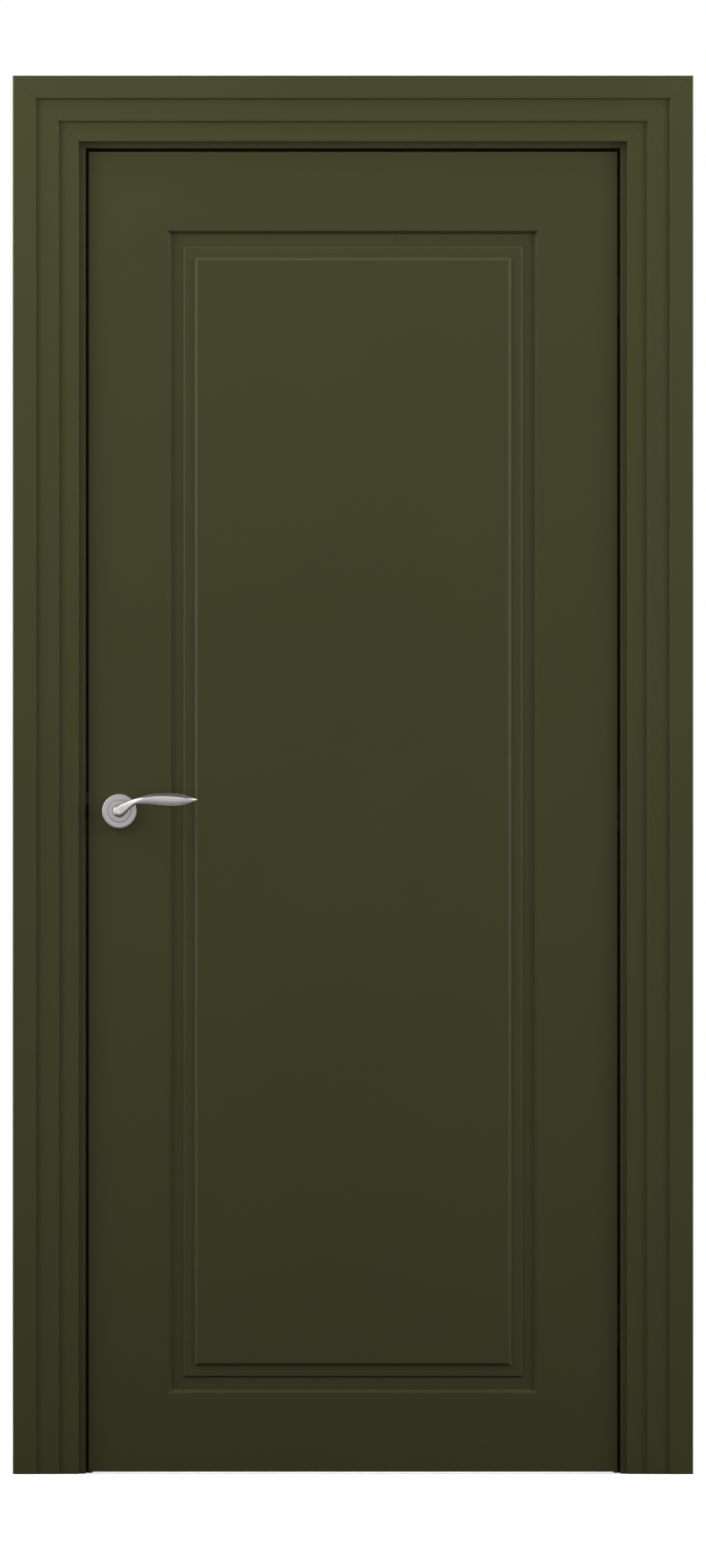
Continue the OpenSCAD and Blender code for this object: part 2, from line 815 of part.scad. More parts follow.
// The return spring lies in a ring-shaped pocket in the base's back, round the neck.
wire_r = 0.65;
spring_turns = 3;
spring_pitch = 2 * wire_r + 0.1;
spring_gap = 0.8;
pocket_ri = neck_r + run + 1.2;
spring_r = pocket_ri + spring_gap + wire_r;
pocket_ro = spring_r + wire_r + spring_gap;
pocket_d = spring_turns * spring_pitch + 2 * wire_r + 0.3;
module rose_base(seat) {
    difference() {
        cylinder(h = base_t, r = rose_r - 1.6 - fit);
        translate([0, 0, -over]) difference() {
            cylinder(h = pocket_d + over, r = pocket_ro);
            cylinder(h = pocket_d + over, r = pocket_ri);
        }
        translate([0, 0, -over]) cylinder(h = base_t + 2 * over, r = neck_r + run);
        for (s = [-1, 1])
            translate([s * rose_bolt_x, 0, -over]) {
                cylinder(h = base_t + 2 * over, r = rose_bolt_r + 0.1);
                translate([0, 0, over + seat]) cylinder(h = base_t + over, r = rose_bolt_r * 1.8 + 0.2);
            }
    }
}

module rose_front() { color(nickel) on_front() rose_cover(); }
module rose_back() { color(nickel) on_back() rose_cover(); }
module rose_base_front() { color(steel) on_front() rose_base(3); }
module rose_base_back() { color(steel) on_back() rose_base(base_t + over); }

// A coil of round wire, flat on z = 0: rings of points carried round a helix.
coil_n = 8;
function coil_ring(a, r, w, pitch) = [
    for (i = [0 : coil_n - 1])
        let (b = 360 * i / coil_n, q = r + w * cos(b))
            [q * cos(a), q * sin(a), w + pitch * a / 360 + w * sin(b)]
];
module coil(r, w, pitch, turns, per = 20) {
    steps = per * turns;
    n = coil_n;
    polyhedron(
        points = [for (k = [0 : steps]) each coil_ring(360 * k / per, r, w, pitch)],
        faces = concat(
            [[for (i = [0 : n - 1]) i]],
            [for (k = [0 : steps - 1]) for (i = [0 : n - 1])
                [k * n + i, (k + 1) * n + i, (k + 1) * n + (i + 1) % n, k * n + (i + 1) % n]],
            [[for (i = [n - 1 : -1 : 0]) steps * n + i]]
        )
    );
}

module lever_springs() {
    color(steel) {
        on_front() translate([0, 0, 0.15]) coil(spring_r, wire_r, spring_pitch, spring_turns);
        on_back() translate([0, 0, 0.15]) coil(spring_r, wire_r, spring_pitch, spring_turns);
    }
}

// Two bolts from the front rose base through the leaf into the back one.
module rose_bolts() {
    color(steel) on_front() for (s = [-1, 1])
        translate([s * rose_bolt_x, 0, 0]) difference() {
            union() {
                translate([0, 0, -leaf_t - base_t + 1]) cylinder(h = leaf_t + base_t + 3, r = rose_bolt_r);
                translate([0, 0, 3]) cylinder(h = 2.4, r = rose_bolt_r * 1.8);
            }
            translate([0, 0, 5.4]) cube([rose_bolt_r * 2.8, 0.8, 2], center = true);
        }
}

// Lever: centre line height and half-sizes at a distance x out from the spindle.
function lerp(a, b, t) = a + (b - a) * t;
function clamp01(t) = min(1, max(0, t));
function smooth(t) = let (c = clamp01(t)) c * c * (3 - 2 * c);
grip_x = lever_l * 0.664;
thin_x = lever_l * 0.2;
lobe_fade = 11.5;
// The centre line climbs in a soft S over the climb length, then waves by half a millimetre.
climb = 17;
wave = 0.5;
wave_x = 32;
wave_l = 76;
function lever_y(x) = lever_rise * (1 - exp(-pow(x / climb, 1.5)))
    + wave * sin(360 * (x - wave_x) / wave_l) * smooth((x - wave_x) / 10);
function lever_slope(x) = atan((lever_y(x + 0.5) - lever_y(max(0, x - 0.5))) / (x < 0.5 ? 0.5 + x : 1));
function lever_half(x) = x < grip_x
    ? bar_h + (neck_r - bar_h) * exp(-pow(x / lobe_fade, 2))
        + (grip_h - bar_h) * pow(max(0, sin(90 * clamp01((x - thin_x) / (grip_x - thin_x)))), 1.15)
    : max(0.3, grip_h * pow(max(0, cos(90 * (x - grip_x) / (lever_l - grip_x))), 0.85));
function lever_deep(x) = x < grip_x
    ? lerp(grip_d, grip_d * 0.8, sin(180 * clamp01(x / grip_x)))
    : max(0.3, grip_d * pow(max(0, 1 - pow((x - grip_x) / (lever_l - grip_x), 3)), 0.6));
function lever_z(x) = lever_out - 1.05 * grip_d - 4 * (1 - smooth(x / (grip_x * 0.6)));
// One ring of the lever's section: a fuller front above the middle than below it.
ring_n = 16;
function lever_ring(x) = [
    for (i = [0 : ring_n - 1])
        let (
            a = 360 * i / ring_n,
            s = lever_slope(x),
            u = lever_half(x) * sin(a),
            v = lever_deep(x) * cos(a) * (1 + (cos(a) > 0 ? 0.2 * sin(a) : 0))
        ) [x - u * sin(s), lever_y(x) + u * cos(s), lever_z(x) + v]
];
lever_steps = 26;
lever_xs = [for (i = [0 : lever_steps]) lever_l * (1 - pow(1 - i / lever_steps, 1.5))];

module lever_arm() {
    n = ring_n;
    polyhedron(
        points = [for (x = lever_xs) each lever_ring(x)],
        faces = concat(
            [[for (i = [n - 1 : -1 : 0]) i]],
            [for (k = [0 : lever_steps - 1]) for (i = [0 : n - 1])
                [k * n + i, k * n + (i + 1) % n, (k + 1) * n + (i + 1) % n, (k + 1) * n + i]],
            [[for (i = [0 : n - 1]) lever_steps * n + i]]
        )
    );
}

socket_l = 27;
neck_z0 = 1;
lobe_z = lever_out - 14;
lobe_l = 9.5;
module lever() {
    difference() {
        union() {
            rotate_extrude() polygon(concat(
                [[0, neck_z0], [neck_r, neck_z0]],
                [for (i = [0 : 9]) [neck_r * cos(9.5 * i), lobe_z + lobe_l * sin(9.5 * i)]],
                [[0, lobe_z + lobe_l]]
            ));
            lever_arm();
        }
        translate([0, 0, neck_z0 + socket_l / 2])
            cube([spindle_w + fit, spindle_w + fit, socket_l + 2 * over], center = true);
        translate([0, 0, grub_z]) rotate([90, 0, 0]) cylinder(h = neck_r + over, r = grub_r + 0.1);
    }
}

grub_r = 2;
grub_z = rose_t + 6;
module grub() {
    translate([0, 0, grub_z]) rotate([90, 0, 0]) difference() {
        translate([0, 0, spindle_w / 2]) cylinder(h = neck_r - spindle_w / 2 - 0.6, r = grub_r);
        translate([0, 0, neck_r - 2]) rotate([0, 0, 30]) cylinder(h = 3, r = 1.1, $fn = 6);
    }
}

module lever_front() { color(nickel) on_front() lever(); }
module lever_back() { color(nickel) on_back() lever(); }
module lever_grub_screws() {
    color(steel) {
        on_front() grub();
        on_back() grub();
    }
}

module spindle() {
    l = leaf_t + 2 * (neck_z0 + socket_l - over);
    color(steel) translate([spindle_x, 0, spindle_z]) cube([spindle_w, l, spindle_w], center = true);
}

jamb_left();
jamb_right();
jamb_head();
frame_screws();
stop_left();
stop_right();
stop_head();
seal_left();
seal_right();
seal_head();
casing_front_left();
casing_front_right();
casing_front_head();
casing_back_left();
casing_back_right();
casing_back_head();
strike_plate();
strike_box();
strike_screws();
hinge_frame(0);  // hinge_frame_bottom
hinge_frame(1);  // hinge_frame_middle
hinge_frame(2);  // hinge_frame_top
hinge_frame_screws();
hinge_leaf(0);  // hinge_leaf_bottom
hinge_leaf(1);  // hinge_leaf_middle
hinge_leaf(2);  // hinge_leaf_top
hinge_leaf_screws();
hinge_link(0);  // hinge_arms_bottom
hinge_link(1);  // hinge_arms_middle
hinge_link(2);  // hinge_arms_top
skin_front();
skin_back();
stile_lock();
stile_hinge();
rail_top();
rail_bottom();
lock_block();
core();
latch_case();
latch_forend();
latch_screws();
latch_bolt();
latch_spring();
follower();
rose_base_front();
rose_base_back();
rose_front();
rose_back();
rose_bolts();
lever_springs();
lever_front();
lever_back();
spindle();
lever_grub_screws();
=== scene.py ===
"""Finishes, levers, roses and a studio for a panelled interior door in its frame.

The packed model is a fixed frame: its nodes keep their shapes and get their finishes here.
The levers, the rose covers and the latch's spring are drawn again as smooth surfaces in the
nodes' places. Everything is in metres, X toward the hinges, Y through the wall, Z up.
"""

import math

import bpy
import numpy as np
from bpy.props import FloatProperty, FloatVectorProperty, IntProperty, PointerProperty
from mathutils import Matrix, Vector


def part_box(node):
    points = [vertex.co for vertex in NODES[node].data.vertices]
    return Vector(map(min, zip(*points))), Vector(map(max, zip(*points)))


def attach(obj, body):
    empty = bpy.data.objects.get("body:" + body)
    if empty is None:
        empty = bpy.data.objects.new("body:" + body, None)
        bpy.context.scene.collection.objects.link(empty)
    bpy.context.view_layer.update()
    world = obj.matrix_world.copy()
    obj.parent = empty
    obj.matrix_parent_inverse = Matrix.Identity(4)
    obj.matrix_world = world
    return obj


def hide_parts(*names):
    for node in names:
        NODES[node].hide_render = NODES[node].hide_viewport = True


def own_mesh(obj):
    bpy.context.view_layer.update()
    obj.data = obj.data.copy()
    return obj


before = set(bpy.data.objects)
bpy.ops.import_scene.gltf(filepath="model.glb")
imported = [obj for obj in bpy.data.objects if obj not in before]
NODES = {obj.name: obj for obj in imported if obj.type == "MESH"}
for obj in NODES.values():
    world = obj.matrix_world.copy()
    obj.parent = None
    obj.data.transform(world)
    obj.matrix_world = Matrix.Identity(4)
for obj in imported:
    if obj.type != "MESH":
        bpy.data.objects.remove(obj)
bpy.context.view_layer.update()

bl_info = {
    "name": "Panelled interior door",
    "version": (1, 0, 0),
    "blender": (4, 5, 0),
    "location": "3D View > Sidebar > Door",
    "description": "Enamel, timber and metal finishes, levers and studio for a door in its frame",
    "category": "Object",
}

MM = 0.001
SIDES = ("left", "right", "head")
HINGES = ("bottom", "middle", "top")
# The spindle's axis and the leaf's two faces, where the levers and roses sit.
SPINDLE = (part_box("spindle")[0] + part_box("spindle")[1]) / 2
FACE_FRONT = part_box("skin_front")[0].y
FACE_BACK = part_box("skin_back")[1].y
LEAF_LOW, LEAF_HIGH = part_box("stile_hinge")
FRAME_LOW, FRAME_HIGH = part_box("jamb_right")
# On a CAD node, points this near are one, faces this level are joined, and edges sharper than
# this are rounded.
SEAM = 0.01 * MM
LEVEL = math.radians(0.5)
SHARP = math.radians(18)
WHITE = (1, 1, 1, 1)
# Nearly all the values of a soft noise lie between these two.
MIDDLE = (0.3, 0.7)


# Settings

class EnamelLook(bpy.types.PropertyGroup):
    """The paint on the leaf, the frame and the casings"""
    colour: FloatVectorProperty(
        name="Colour", description="Colour of the enamel", subtype="COLOR", size=3,
        min=0, max=1, default=(0.0688, 0.0685, 0.0222))
    # Painted shade: the leaf's enamel is drawn darker than the frame's by this share, standing in
    # for the lesser light that falls on the leaf.
    leaf_painted_shade: FloatProperty(
        name="Leaf shade", description="How much darker the leaf is than its frame",
        default=0.06, min=0, max=0.5, subtype="FACTOR")
    shift: FloatProperty(
        name="Shift", description="How far the colour drifts from place to place",
        default=0.05, min=0, max=0.5, subtype="FACTOR")
    roughness: FloatProperty(
        name="Roughness", description="Satin of the dry enamel", default=0.36, min=0.05, max=1,
        subtype="FACTOR")
    gloss: FloatProperty(
        name="Gloss", description="Strength of the enamel's reflection", default=0.2, min=0,
        max=1, subtype="FACTOR")
    peel: FloatProperty(
        name="Orange peel", description="Height of the sprayed film's ripple in millimetres",
        default=0.018, min=0, max=0.2)


class MetalLook(bpy.types.PropertyGroup):
    """The satin nickel, the zinc-plated steel and the hinges' cast alloy"""
    nickel: FloatVectorProperty(
        name="Nickel", description="Colour of the satin nickel", subtype="COLOR", size=3,
        min=0, max=1, default=(0.43, 0.405, 0.41))
    rose_roughness: FloatProperty(
        name="Rose roughness", description="Satin of the roses and plates", default=0.34,
        min=0.02, max=1, subtype="FACTOR")
    lever_roughness: FloatProperty(
        name="Lever roughness", description="Polish of the levers", default=0.24, min=0.02,
        max=1, subtype="FACTOR")
    steel: FloatVectorProperty(
        name="Steel", description="Colour of the zinc-plated steel", subtype="COLOR", size=3,
        min=0, max=1, default=(0.42, 0.43, 0.45))
    black: FloatVectorProperty(
        name="Black steel", description="Colour of the black-plated bolt and hinge arms",
        subtype="COLOR", size=3, min=0, max=1, default=(0.02, 0.02, 0.019))
    alloy: FloatVectorProperty(
        name="Alloy", description="Colour of the hinges' cast bodies", subtype="COLOR", size=3,
        min=0, max=1, default=(0.36, 0.36, 0.365))


class RubberLook(bpy.types.PropertyGroup):
    """The rubber seals and the strike's plastic box"""
    seal: FloatVectorProperty(
        name="Seal", description="Colour of the rubber seals", subtype="COLOR", size=3,
        min=0, max=1, default=(0.075, 0.075, 0.03))
    dust_box: FloatVectorProperty(
        name="Dust box", description="Colour of the plastic box behind the strike",
        subtype="COLOR", size=3, min=0, max=1, default=(0.016, 0.016, 0.017))


class TimberLook(bpy.types.PropertyGroup):
    """The bare pine, the chipboard and the fibreboard behind the enamel"""
    pine_pale: FloatVectorProperty(
        name="Pale pine", description="Early wood of the pine", subtype="COLOR", size=3,
        min=0, max=1, default=(0.62, 0.44, 0.24))
    pine_dark: FloatVectorProperty(
        name="Dark pine", description="Late wood of the pine", subtype="COLOR", size=3,
        min=0, max=1, default=(0.40, 0.22, 0.09))
    ring_pitch: FloatProperty(
        name="Ring pitch", description="Distance between the pine's growth rings",
        default=3.2 * MM, min=0.5 * MM, max=20 * MM, unit="LENGTH")
    board: FloatVectorProperty(
        name="Board", description="Colour of the bare fibreboard and chipboard",
        subtype="COLOR", size=3, min=0, max=1, default=(0.36, 0.25, 0.14))


class LeverSizes(bpy.types.PropertyGroup):
    """Sizes of a lever, measured from the leaf's face and the spindle's axis"""
    reach: FloatProperty(
        name="Reach", description="From the spindle's axis to the tip", default=120.4 * MM,
        unit="LENGTH")
    rise: FloatProperty(
        name="Rise", description="How far the grip lies above the spindle", default=17.4 * MM,
        unit="LENGTH")
    stand_off: FloatProperty(
        name="Stand-off", description="From the leaf's face to the grip's front",
        default=60 * MM, unit="LENGTH")
    neck: FloatProperty(
        name="Neck radius", description="Radius of the round neck", default=8.5 * MM,
        unit="LENGTH")
    waist: FloatProperty(
        name="Waist", description="Half-height where the arm is thinnest", default=4.8 * MM,
        unit="LENGTH")
    grip: FloatProperty(
        name="Grip", description="Half-height of the grip at its widest", default=9.9 * MM,
        unit="LENGTH")
    depth: FloatProperty(
        name="Depth", description="Half-depth of the grip", default=5.5 * MM, unit="LENGTH")
    bend: FloatProperty(
        name="Bend radius", description="Inner radius of the elbow from neck to arm",
        default=3 * MM, unit="LENGTH")


class RoseSizes(bpy.types.PropertyGroup):
    """Sizes of a rose cover"""
    radius: FloatProperty(
        name="Radius", description="Outer radius of the cover", default=26 * MM, unit="LENGTH")
    height: FloatProperty(
        name="Height", description="Height off the leaf", default=9 * MM, unit="LENGTH")
    collar: FloatProperty(
        name="Collar radius", description="Radius of the line round the collar",
        default=16.5 * MM, unit="LENGTH")
    wall: FloatProperty(
        name="Wall", description="Thickness of the pressed metal", default=1.6 * MM,
        unit="LENGTH")
    bore: FloatProperty(
        name="Bore radius", description="Radius of the hole for the neck", default=8.8 * MM,
        unit="LENGTH")
    segments: IntProperty(
        name="Segments", description="Points round the cover", default=144, min=24, max=512)


class SpringSizes(bpy.types.PropertyGroup):
    """Sizes of the latch's coil spring"""
    turns: IntProperty(
        name="Turns", description="Turns of the coil", default=6, min=2, max=30)
    wire: FloatProperty(
        name="Wire", description="Thickness of the wire", default=1.0 * MM, unit="LENGTH")
    travel: FloatProperty(
        name="Travel", description="How far the bolt draws back", default=11 * MM,
        unit="LENGTH")


class StudioSettings(bpy.types.PropertyGroup):
    """Camera, lamps and floor"""
    distance: FloatProperty(
        name="Camera distance", description="From the camera to the leaf's face",
        default=30.0, unit="LENGTH")
    eye: FloatProperty(
        name="Camera height", description="Height of the camera above the floor",
        default=1.0452, unit="LENGTH")
    seen: FloatProperty(
        name="Seen height", description="Height that the picture takes in at the leaf",
        default=2.376, unit="LENGTH")
    aim: FloatProperty(
        name="Aim", description="Height on the leaf that the softboxes face", default=1.3,
        unit="LENGTH")
    key: FloatProperty(
        name="Key", description="Power of the softbox above and in front", default=13.6,
        unit="POWER")
    left: FloatProperty(
        name="Left", description="Power of the tall softbox at the left", default=22.5,
        unit="POWER")
    right: FloatProperty(
        name="Right", description="Power of the tall softbox at the right", default=28,
        unit="POWER")
    left_rim: FloatProperty(
        name="Left rim", description="Power of the small softbox high at the left", default=10.5,
        unit="POWER")
    right_rim: FloatProperty(
        name="Right rim", description="Power of the small softbox high at the right",
        default=4.5, unit="POWER")
    side_graze: FloatProperty(
        name="Side graze", description="Power of the two softboxes close to the wall's plane",
        default=5.8, unit="POWER")
    top_graze: FloatProperty(
        name="Top graze", description="Power of the softbox above, close to the wall's plane",
        default=9.5, unit="POWER")
    fill: FloatProperty(
        name="Fill", description="Strength of the light from all round", default=0.04,
        min=0, max=2)
    ceiling: FloatProperty(
        name="Ceiling", description="How bright metal sees the studio's ceiling",
        default=0.18, min=0, max=1, subtype="FACTOR")
    floor_colour: FloatVectorProperty(
        name="Floor colour", description="Colour of the pale floor", subtype="COLOR", size=3,
        min=0, max=1, default=(0.86, 0.87, 0.9))
    floor_in_metal: FloatProperty(
        name="Floor in metal", description="How bright metal sees the floor near the door",
        default=0.28, min=0, max=1, subtype="FACTOR")
    bounce: FloatProperty(
        name="Bounce", description="Share of the light on the floor that it throws back",
        default=0.13, min=0, max=1, subtype="FACTOR")
    floor: FloatProperty(
        name="Floor size", description="Side of the square floor", default=60, unit="LENGTH")


# Node helpers

def new_material(name):
    """A material with its Principled shader, and Object coordinates to draw on."""
    material = bpy.data.materials.new(name)
    material.use_nodes = True
    tree = material.node_tree
    shader = tree.nodes["Principled BSDF"]
    where = tree.nodes.new("ShaderNodeTexCoord").outputs["Object"]
    return material, tree, shader, where


def join(tree, value, socket):
    """Links a socket to another, or sets a plain number or colour on it."""
    if isinstance(value, bpy.types.NodeSocket):
        tree.links.new(value, socket)
    else:
        socket.default_value = value


def calc(tree, operation, first, second=0.0, third=0.0, clamp=False):
    """One Math node on up to three numbers."""
    node = tree.nodes.new("ShaderNodeMath")
    node.operation = operation
    node.use_clamp = clamp
    for value, socket in zip((first, second, third), node.inputs):
        join(tree, value, socket)
    return node.outputs[0]


def stretch(tree, where, scale, turn=(0, 0, 0)):
    """The coordinates turned, then multiplied along each axis."""
    node = tree.nodes.new("ShaderNodeMapping")
    join(tree, where, node.inputs["Vector"])
    node.inputs["Scale"].default_value = scale
    node.inputs["Rotation"].default_value = turn
    return node.outputs["Vector"]


def noise(tree, where, scale, detail=2.0, roughness=0.5, twist=0.0):
    """Soft random values from 0 to 1, scale cells a metre."""
    node = tree.nodes.new("ShaderNodeTexNoise")
    join(tree, where, node.inputs["Vector"])
    node.inputs["Scale"].default_value = scale
    node.inputs["Detail"].default_value = detail
    node.inputs["Roughness"].default_value = roughness
    node.inputs["Distortion"].default_value = twist
    return node.outputs["Fac"]


def spread(tree, value, low, high, to_low=0.0, to_high=1.0):
    """The value's range from low to high laid over the range from to_low to to_high."""
    node = tree.nodes.new("ShaderNodeMapRange")
    ends = {"From Min": low, "From Max": high, "To Min": to_low, "To Max": to_high}
    for name, number in ends.items():
        node.inputs[name].default_value = number
    join(tree, value, node.inputs["Value"])
    return node.outputs["Result"]


def blend_colours(tree, share, first, second):
    """First at share 0, second at share 1."""
    node = tree.nodes.new("ShaderNodeMix")
    node.data_type = "RGBA"
    sockets = {s.identifier: s for s in node.inputs}
    join(tree, share, sockets["Factor_Float"])
    for value, name in ((first, "A_Color"), (second, "B_Color")):
        if not isinstance(value, bpy.types.NodeSocket):
            value = (*value[:3], 1.0)
        join(tree, value, sockets[name])
    return next(s for s in node.outputs if s.identifier == "Result_Color")


def raise_bump(tree, height, shader, strength=1.0):
    """Turns a height in millimetres into the shader's normal."""
    node = tree.nodes.new("ShaderNodeBump")
    node.inputs["Distance"].default_value = MM
    node.inputs["Strength"].default_value = strength
    join(tree, height, node.inputs["Height"])
    tree.links.new(node.outputs["Normal"], shader.inputs["Normal"])


def tinted(colour, share):
    """A colour made lighter or darker by a share of itself."""
    return tuple(min(1.0, c * (1 + share)) for c in colour)


# Substances: each returns its colour, roughness and height in millimetres

def enamel_film(tree, where, look, shade=0.0):
    """Sprayed satin enamel, darker by a painted shade for the lesser light on the leaf: a slow
    drift of colour and satin, and the film's fine ripple."""
    # Painted shade: a shade above 0 darkens the colour where the leaf gets less light; the frame's
    # enamel has none.
    colour = tinted(look.colour, -shade)
    drift = noise(tree, where, 2.2, 3.0, 0.55)
    speck = noise(tree, where, 95.0, 2.0)
    mixed = calc(tree, "MULTIPLY_ADD", speck, 0.25, calc(tree, "MULTIPLY", drift, 0.75))
    colour = blend_colours(tree, spread(tree, mixed, *MIDDLE),
                           tinted(colour, -look.shift), tinted(colour, look.shift))
    satin_shift = 0.035
    roughness = spread(tree, noise(tree, where, 14.0, 3.0), *MIDDLE,
                       look.roughness - satin_shift, look.roughness + satin_shift)
    peel = calc(tree, "MULTIPLY", noise(tree, where, 520.0, 1.0), look.peel)
    waves = calc(tree, "MULTIPLY", noise(tree, where, 60.0, 1.0), look.peel * 3)
    return colour, roughness, calc(tree, "ADD", peel, waves)


def pine_wood(tree, where, look, grain):
    """Sawn pine: rings of early and late wood, drawn out along the grain axis, with pores."""
    along = {"X": (0.06, 1, 1), "Y": (1, 0.06, 1), "Z": (1, 1, 0.06)}[grain]
    fibre = {"X": (0.02, 1, 1), "Y": (1, 0.02, 1), "Z": (1, 1, 0.02)}[grain]
    bent = noise(tree, stretch(tree, where, along), 9.0, 2.0, 0.5, 0.4)
    rings = calc(tree, "FRACT", calc(tree, "MULTIPLY", bent, 0.11 / look.ring_pitch))
    late = spread(tree, rings, 0.35, 1.0)
    pores = noise(tree, stretch(tree, where, fibre), 900.0, 2.0)
    share = calc(tree, "MULTIPLY_ADD", calc(tree, "SUBTRACT", pores, 0.5), 0.5, late, clamp=True)
    colour = blend_colours(tree, share, look.pine_pale, look.pine_dark)
    height = calc(tree, "MULTIPLY", pores, -0.12)
    return colour, spread(tree, late, 0, 1, 0.72, 0.6), height


def fibre_board(tree, where, look):
    """Bare fibreboard: an even brown with fine fluff."""
    fluff = noise(tree, where, 700.0, 4.0, 0.7)
    clouds = noise(tree, where, 12.0, 2.0)
    share = calc(tree, "MULTIPLY_ADD", clouds, 0.4, calc(tree, "MULTIPLY", fluff, 0.6))
    colour = blend_colours(tree, spread(tree, share, *MIDDLE),
                           tinted(look.board, -0.16), tinted(look.board, 0.16))
    return colour, spread(tree, fluff, 0.2, 0.8, 0.78, 0.92), calc(tree, "MULTIPLY", fluff, 0.08)


def chip_board(tree, where, look):
    """Chipboard: flat flakes of many browns, each cell of a squashed cell pattern one flake."""
    cells = tree.nodes.new("ShaderNodeTexVoronoi")
    cells.inputs["Scale"].default_value = 210.0
    join(tree, stretch(tree, where, (1, 2.6, 0.7)), cells.inputs["Vector"])
    flake = tree.nodes.new("ShaderNodeSeparateColor")
    tree.links.new(cells.outputs["Color"], flake.inputs["Color"])
    colour = blend_colours(tree, flake.outputs[0],
                           tinted(look.board, -0.35), tinted(look.board, 0.65))
    height = calc(tree, "MULTIPLY", flake.outputs[1], 0.25)
    return colour, spread(tree, flake.outputs[2], 0, 1, 0.7, 0.9), height


def beyond(tree, where, tests):
    """1 where any test holds. A test is an axis, a sign and a limit: the sign times the place
    on that axis is past the limit. Sign 0 tests the distance from the middle."""
    split = tree.nodes.new("ShaderNodeSeparateXYZ")
    tree.links.new(where, split.inputs[0])
    share = 0.0
    for axis, sign, limit in tests:
        place = split.outputs["XYZ".index(axis)]
        place = calc(tree, "ABSOLUTE", place) if sign == 0 else calc(tree, "MULTIPLY", place, sign)
        share = calc(tree, "MAXIMUM", share, calc(tree, "GREATER_THAN", place, limit))
    return share


def lay(tree, shader, under, over=None, share=0.0):
    """Puts a substance on the shader, with another over it where share is 1."""
    colour, roughness, height = under
    if over is not None:
        colour = blend_colours(tree, share, colour, over[0])
        roughness, height = (
            calc(tree, "MULTIPLY_ADD", share, calc(tree, "SUBTRACT", b, a), a)
            for a, b in zip(under[1:], over[1:])
        )
    join(tree, colour, shader.inputs["Base Color"])
    join(tree, roughness, shader.inputs["Roughness"])
    raise_bump(tree, height, shader)


# Finishes

def enamel(look, timber, name, bare=(), shade=0.0):
    """Enamel all round, but bare fibreboard where a test in bare holds."""
    material, tree, shader, where = new_material(name)
    film = enamel_film(tree, where, look, shade)
    if bare:
        lay(tree, shader, film, fibre_board(tree, where, timber), beyond(tree, where, bare))
    else:
        lay(tree, shader, film)
    shader.inputs["Specular IOR Level"].default_value = look.gloss
    return material


def pine(look, paint, name, grain, painted=()):
    """Bare pine, but enamelled where a test in painted holds."""
    material, tree, shader, where = new_material(name)
    wood = pine_wood(tree, where, look, grain)
    if painted:
        # The enamel on the leaf's edges carries the leaf's painted shade, darker for the lesser
        # light on the leaf.
        film = enamel_film(tree, where, paint, paint.leaf_painted_shade)
        lay(tree, shader, wood, film, beyond(tree, where, painted))
    else:
        lay(tree, shader, wood)
    shader.inputs["Specular IOR Level"].default_value = 0.25
    return material


def chipboard(look, name):
    """The core board's flakes."""
    material, tree, shader, where = new_material(name)
    lay(tree, shader, chip_board(tree, where, look))
    shader.inputs["Specular IOR Level"].default_value = 0.2
    return material


def satin_metal(name, colour, roughness, along, brushing=0.12, blur=0.06):
    """Brushed metal: fine lines drawn out along one axis change its shade, satin and height."""
    material, tree, shader, where = new_material(name)
    drawn = {"X": (0.03, 1, 1), "Y": (1, 0.03, 1), "Z": (1, 1, 0.03), "": (1, 1, 1)}[along]
    lines = noise(tree, stretch(tree, where, drawn), 2600.0, 2.0)
    clouds = noise(tree, where, 45.0, 3.0)
    shade = calc(tree, "MULTIPLY_ADD", lines, 0.6, calc(tree, "MULTIPLY", clouds, 0.4))
    join(tree, blend_colours(tree, spread(tree, shade, *MIDDLE),
                             tinted(colour, -brushing / 2), tinted(colour, brushing / 2)),
         shader.inputs["Base Color"])
    join(tree, spread(tree, shade, *MIDDLE, roughness - blur / 2, roughness + blur / 2),
         shader.inputs["Roughness"])
    raise_bump(tree, calc(tree, "MULTIPLY", lines, 0.004), shader)
    shader.inputs["Metallic"].default_value = 1.0
    return material


def cast_metal(name, colour, roughness):
    """Cast alloy: a fine pebbled skin with cloudy satin."""
    material, tree, shader, where = new_material(name)
    pebbles = noise(tree, where, 1400.0, 3.0, 0.6)
    clouds = noise(tree, where, 60.0, 2.0)
    join(tree, blend_colours(tree, clouds, tinted(colour, -0.12), tinted(colour, 0.12)),
         shader.inputs["Base Color"])
    join(tree, spread(tree, pebbles, 0.2, 0.8, roughness - 0.08, roughness + 0.08),
         shader.inputs["Roughness"])
    raise_bump(tree, calc(tree, "MULTIPLY", pebbles, 0.02), shader)
    shader.inputs["Metallic"].default_value = 1.0
    return material


def zinc_plate(name, colour):
    """Zinc-plated steel: angular crystals a few millimetres wide, each its own shade."""
    material, tree, shader, where = new_material(name)
    cells = tree.nodes.new("ShaderNodeTexVoronoi")
    cells.inputs["Scale"].default_value = 320.0
    join(tree, where, cells.inputs["Vector"])
    crystal = tree.nodes.new("ShaderNodeSeparateColor")
    tree.links.new(cells.outputs["Color"], crystal.inputs["Color"])
    join(tree, blend_colours(tree, crystal.outputs[0],
                             tinted(colour, -0.14), tinted(colour, 0.14)),
         shader.inputs["Base Color"])
    join(tree, spread(tree, crystal.outputs[1], 0, 1, 0.3, 0.46), shader.inputs["Roughness"])
    raise_bump(tree, calc(tree, "MULTIPLY", noise(tree, where, 900.0), 0.01), shader)
    shader.inputs["Metallic"].default_value = 1.0
    return material


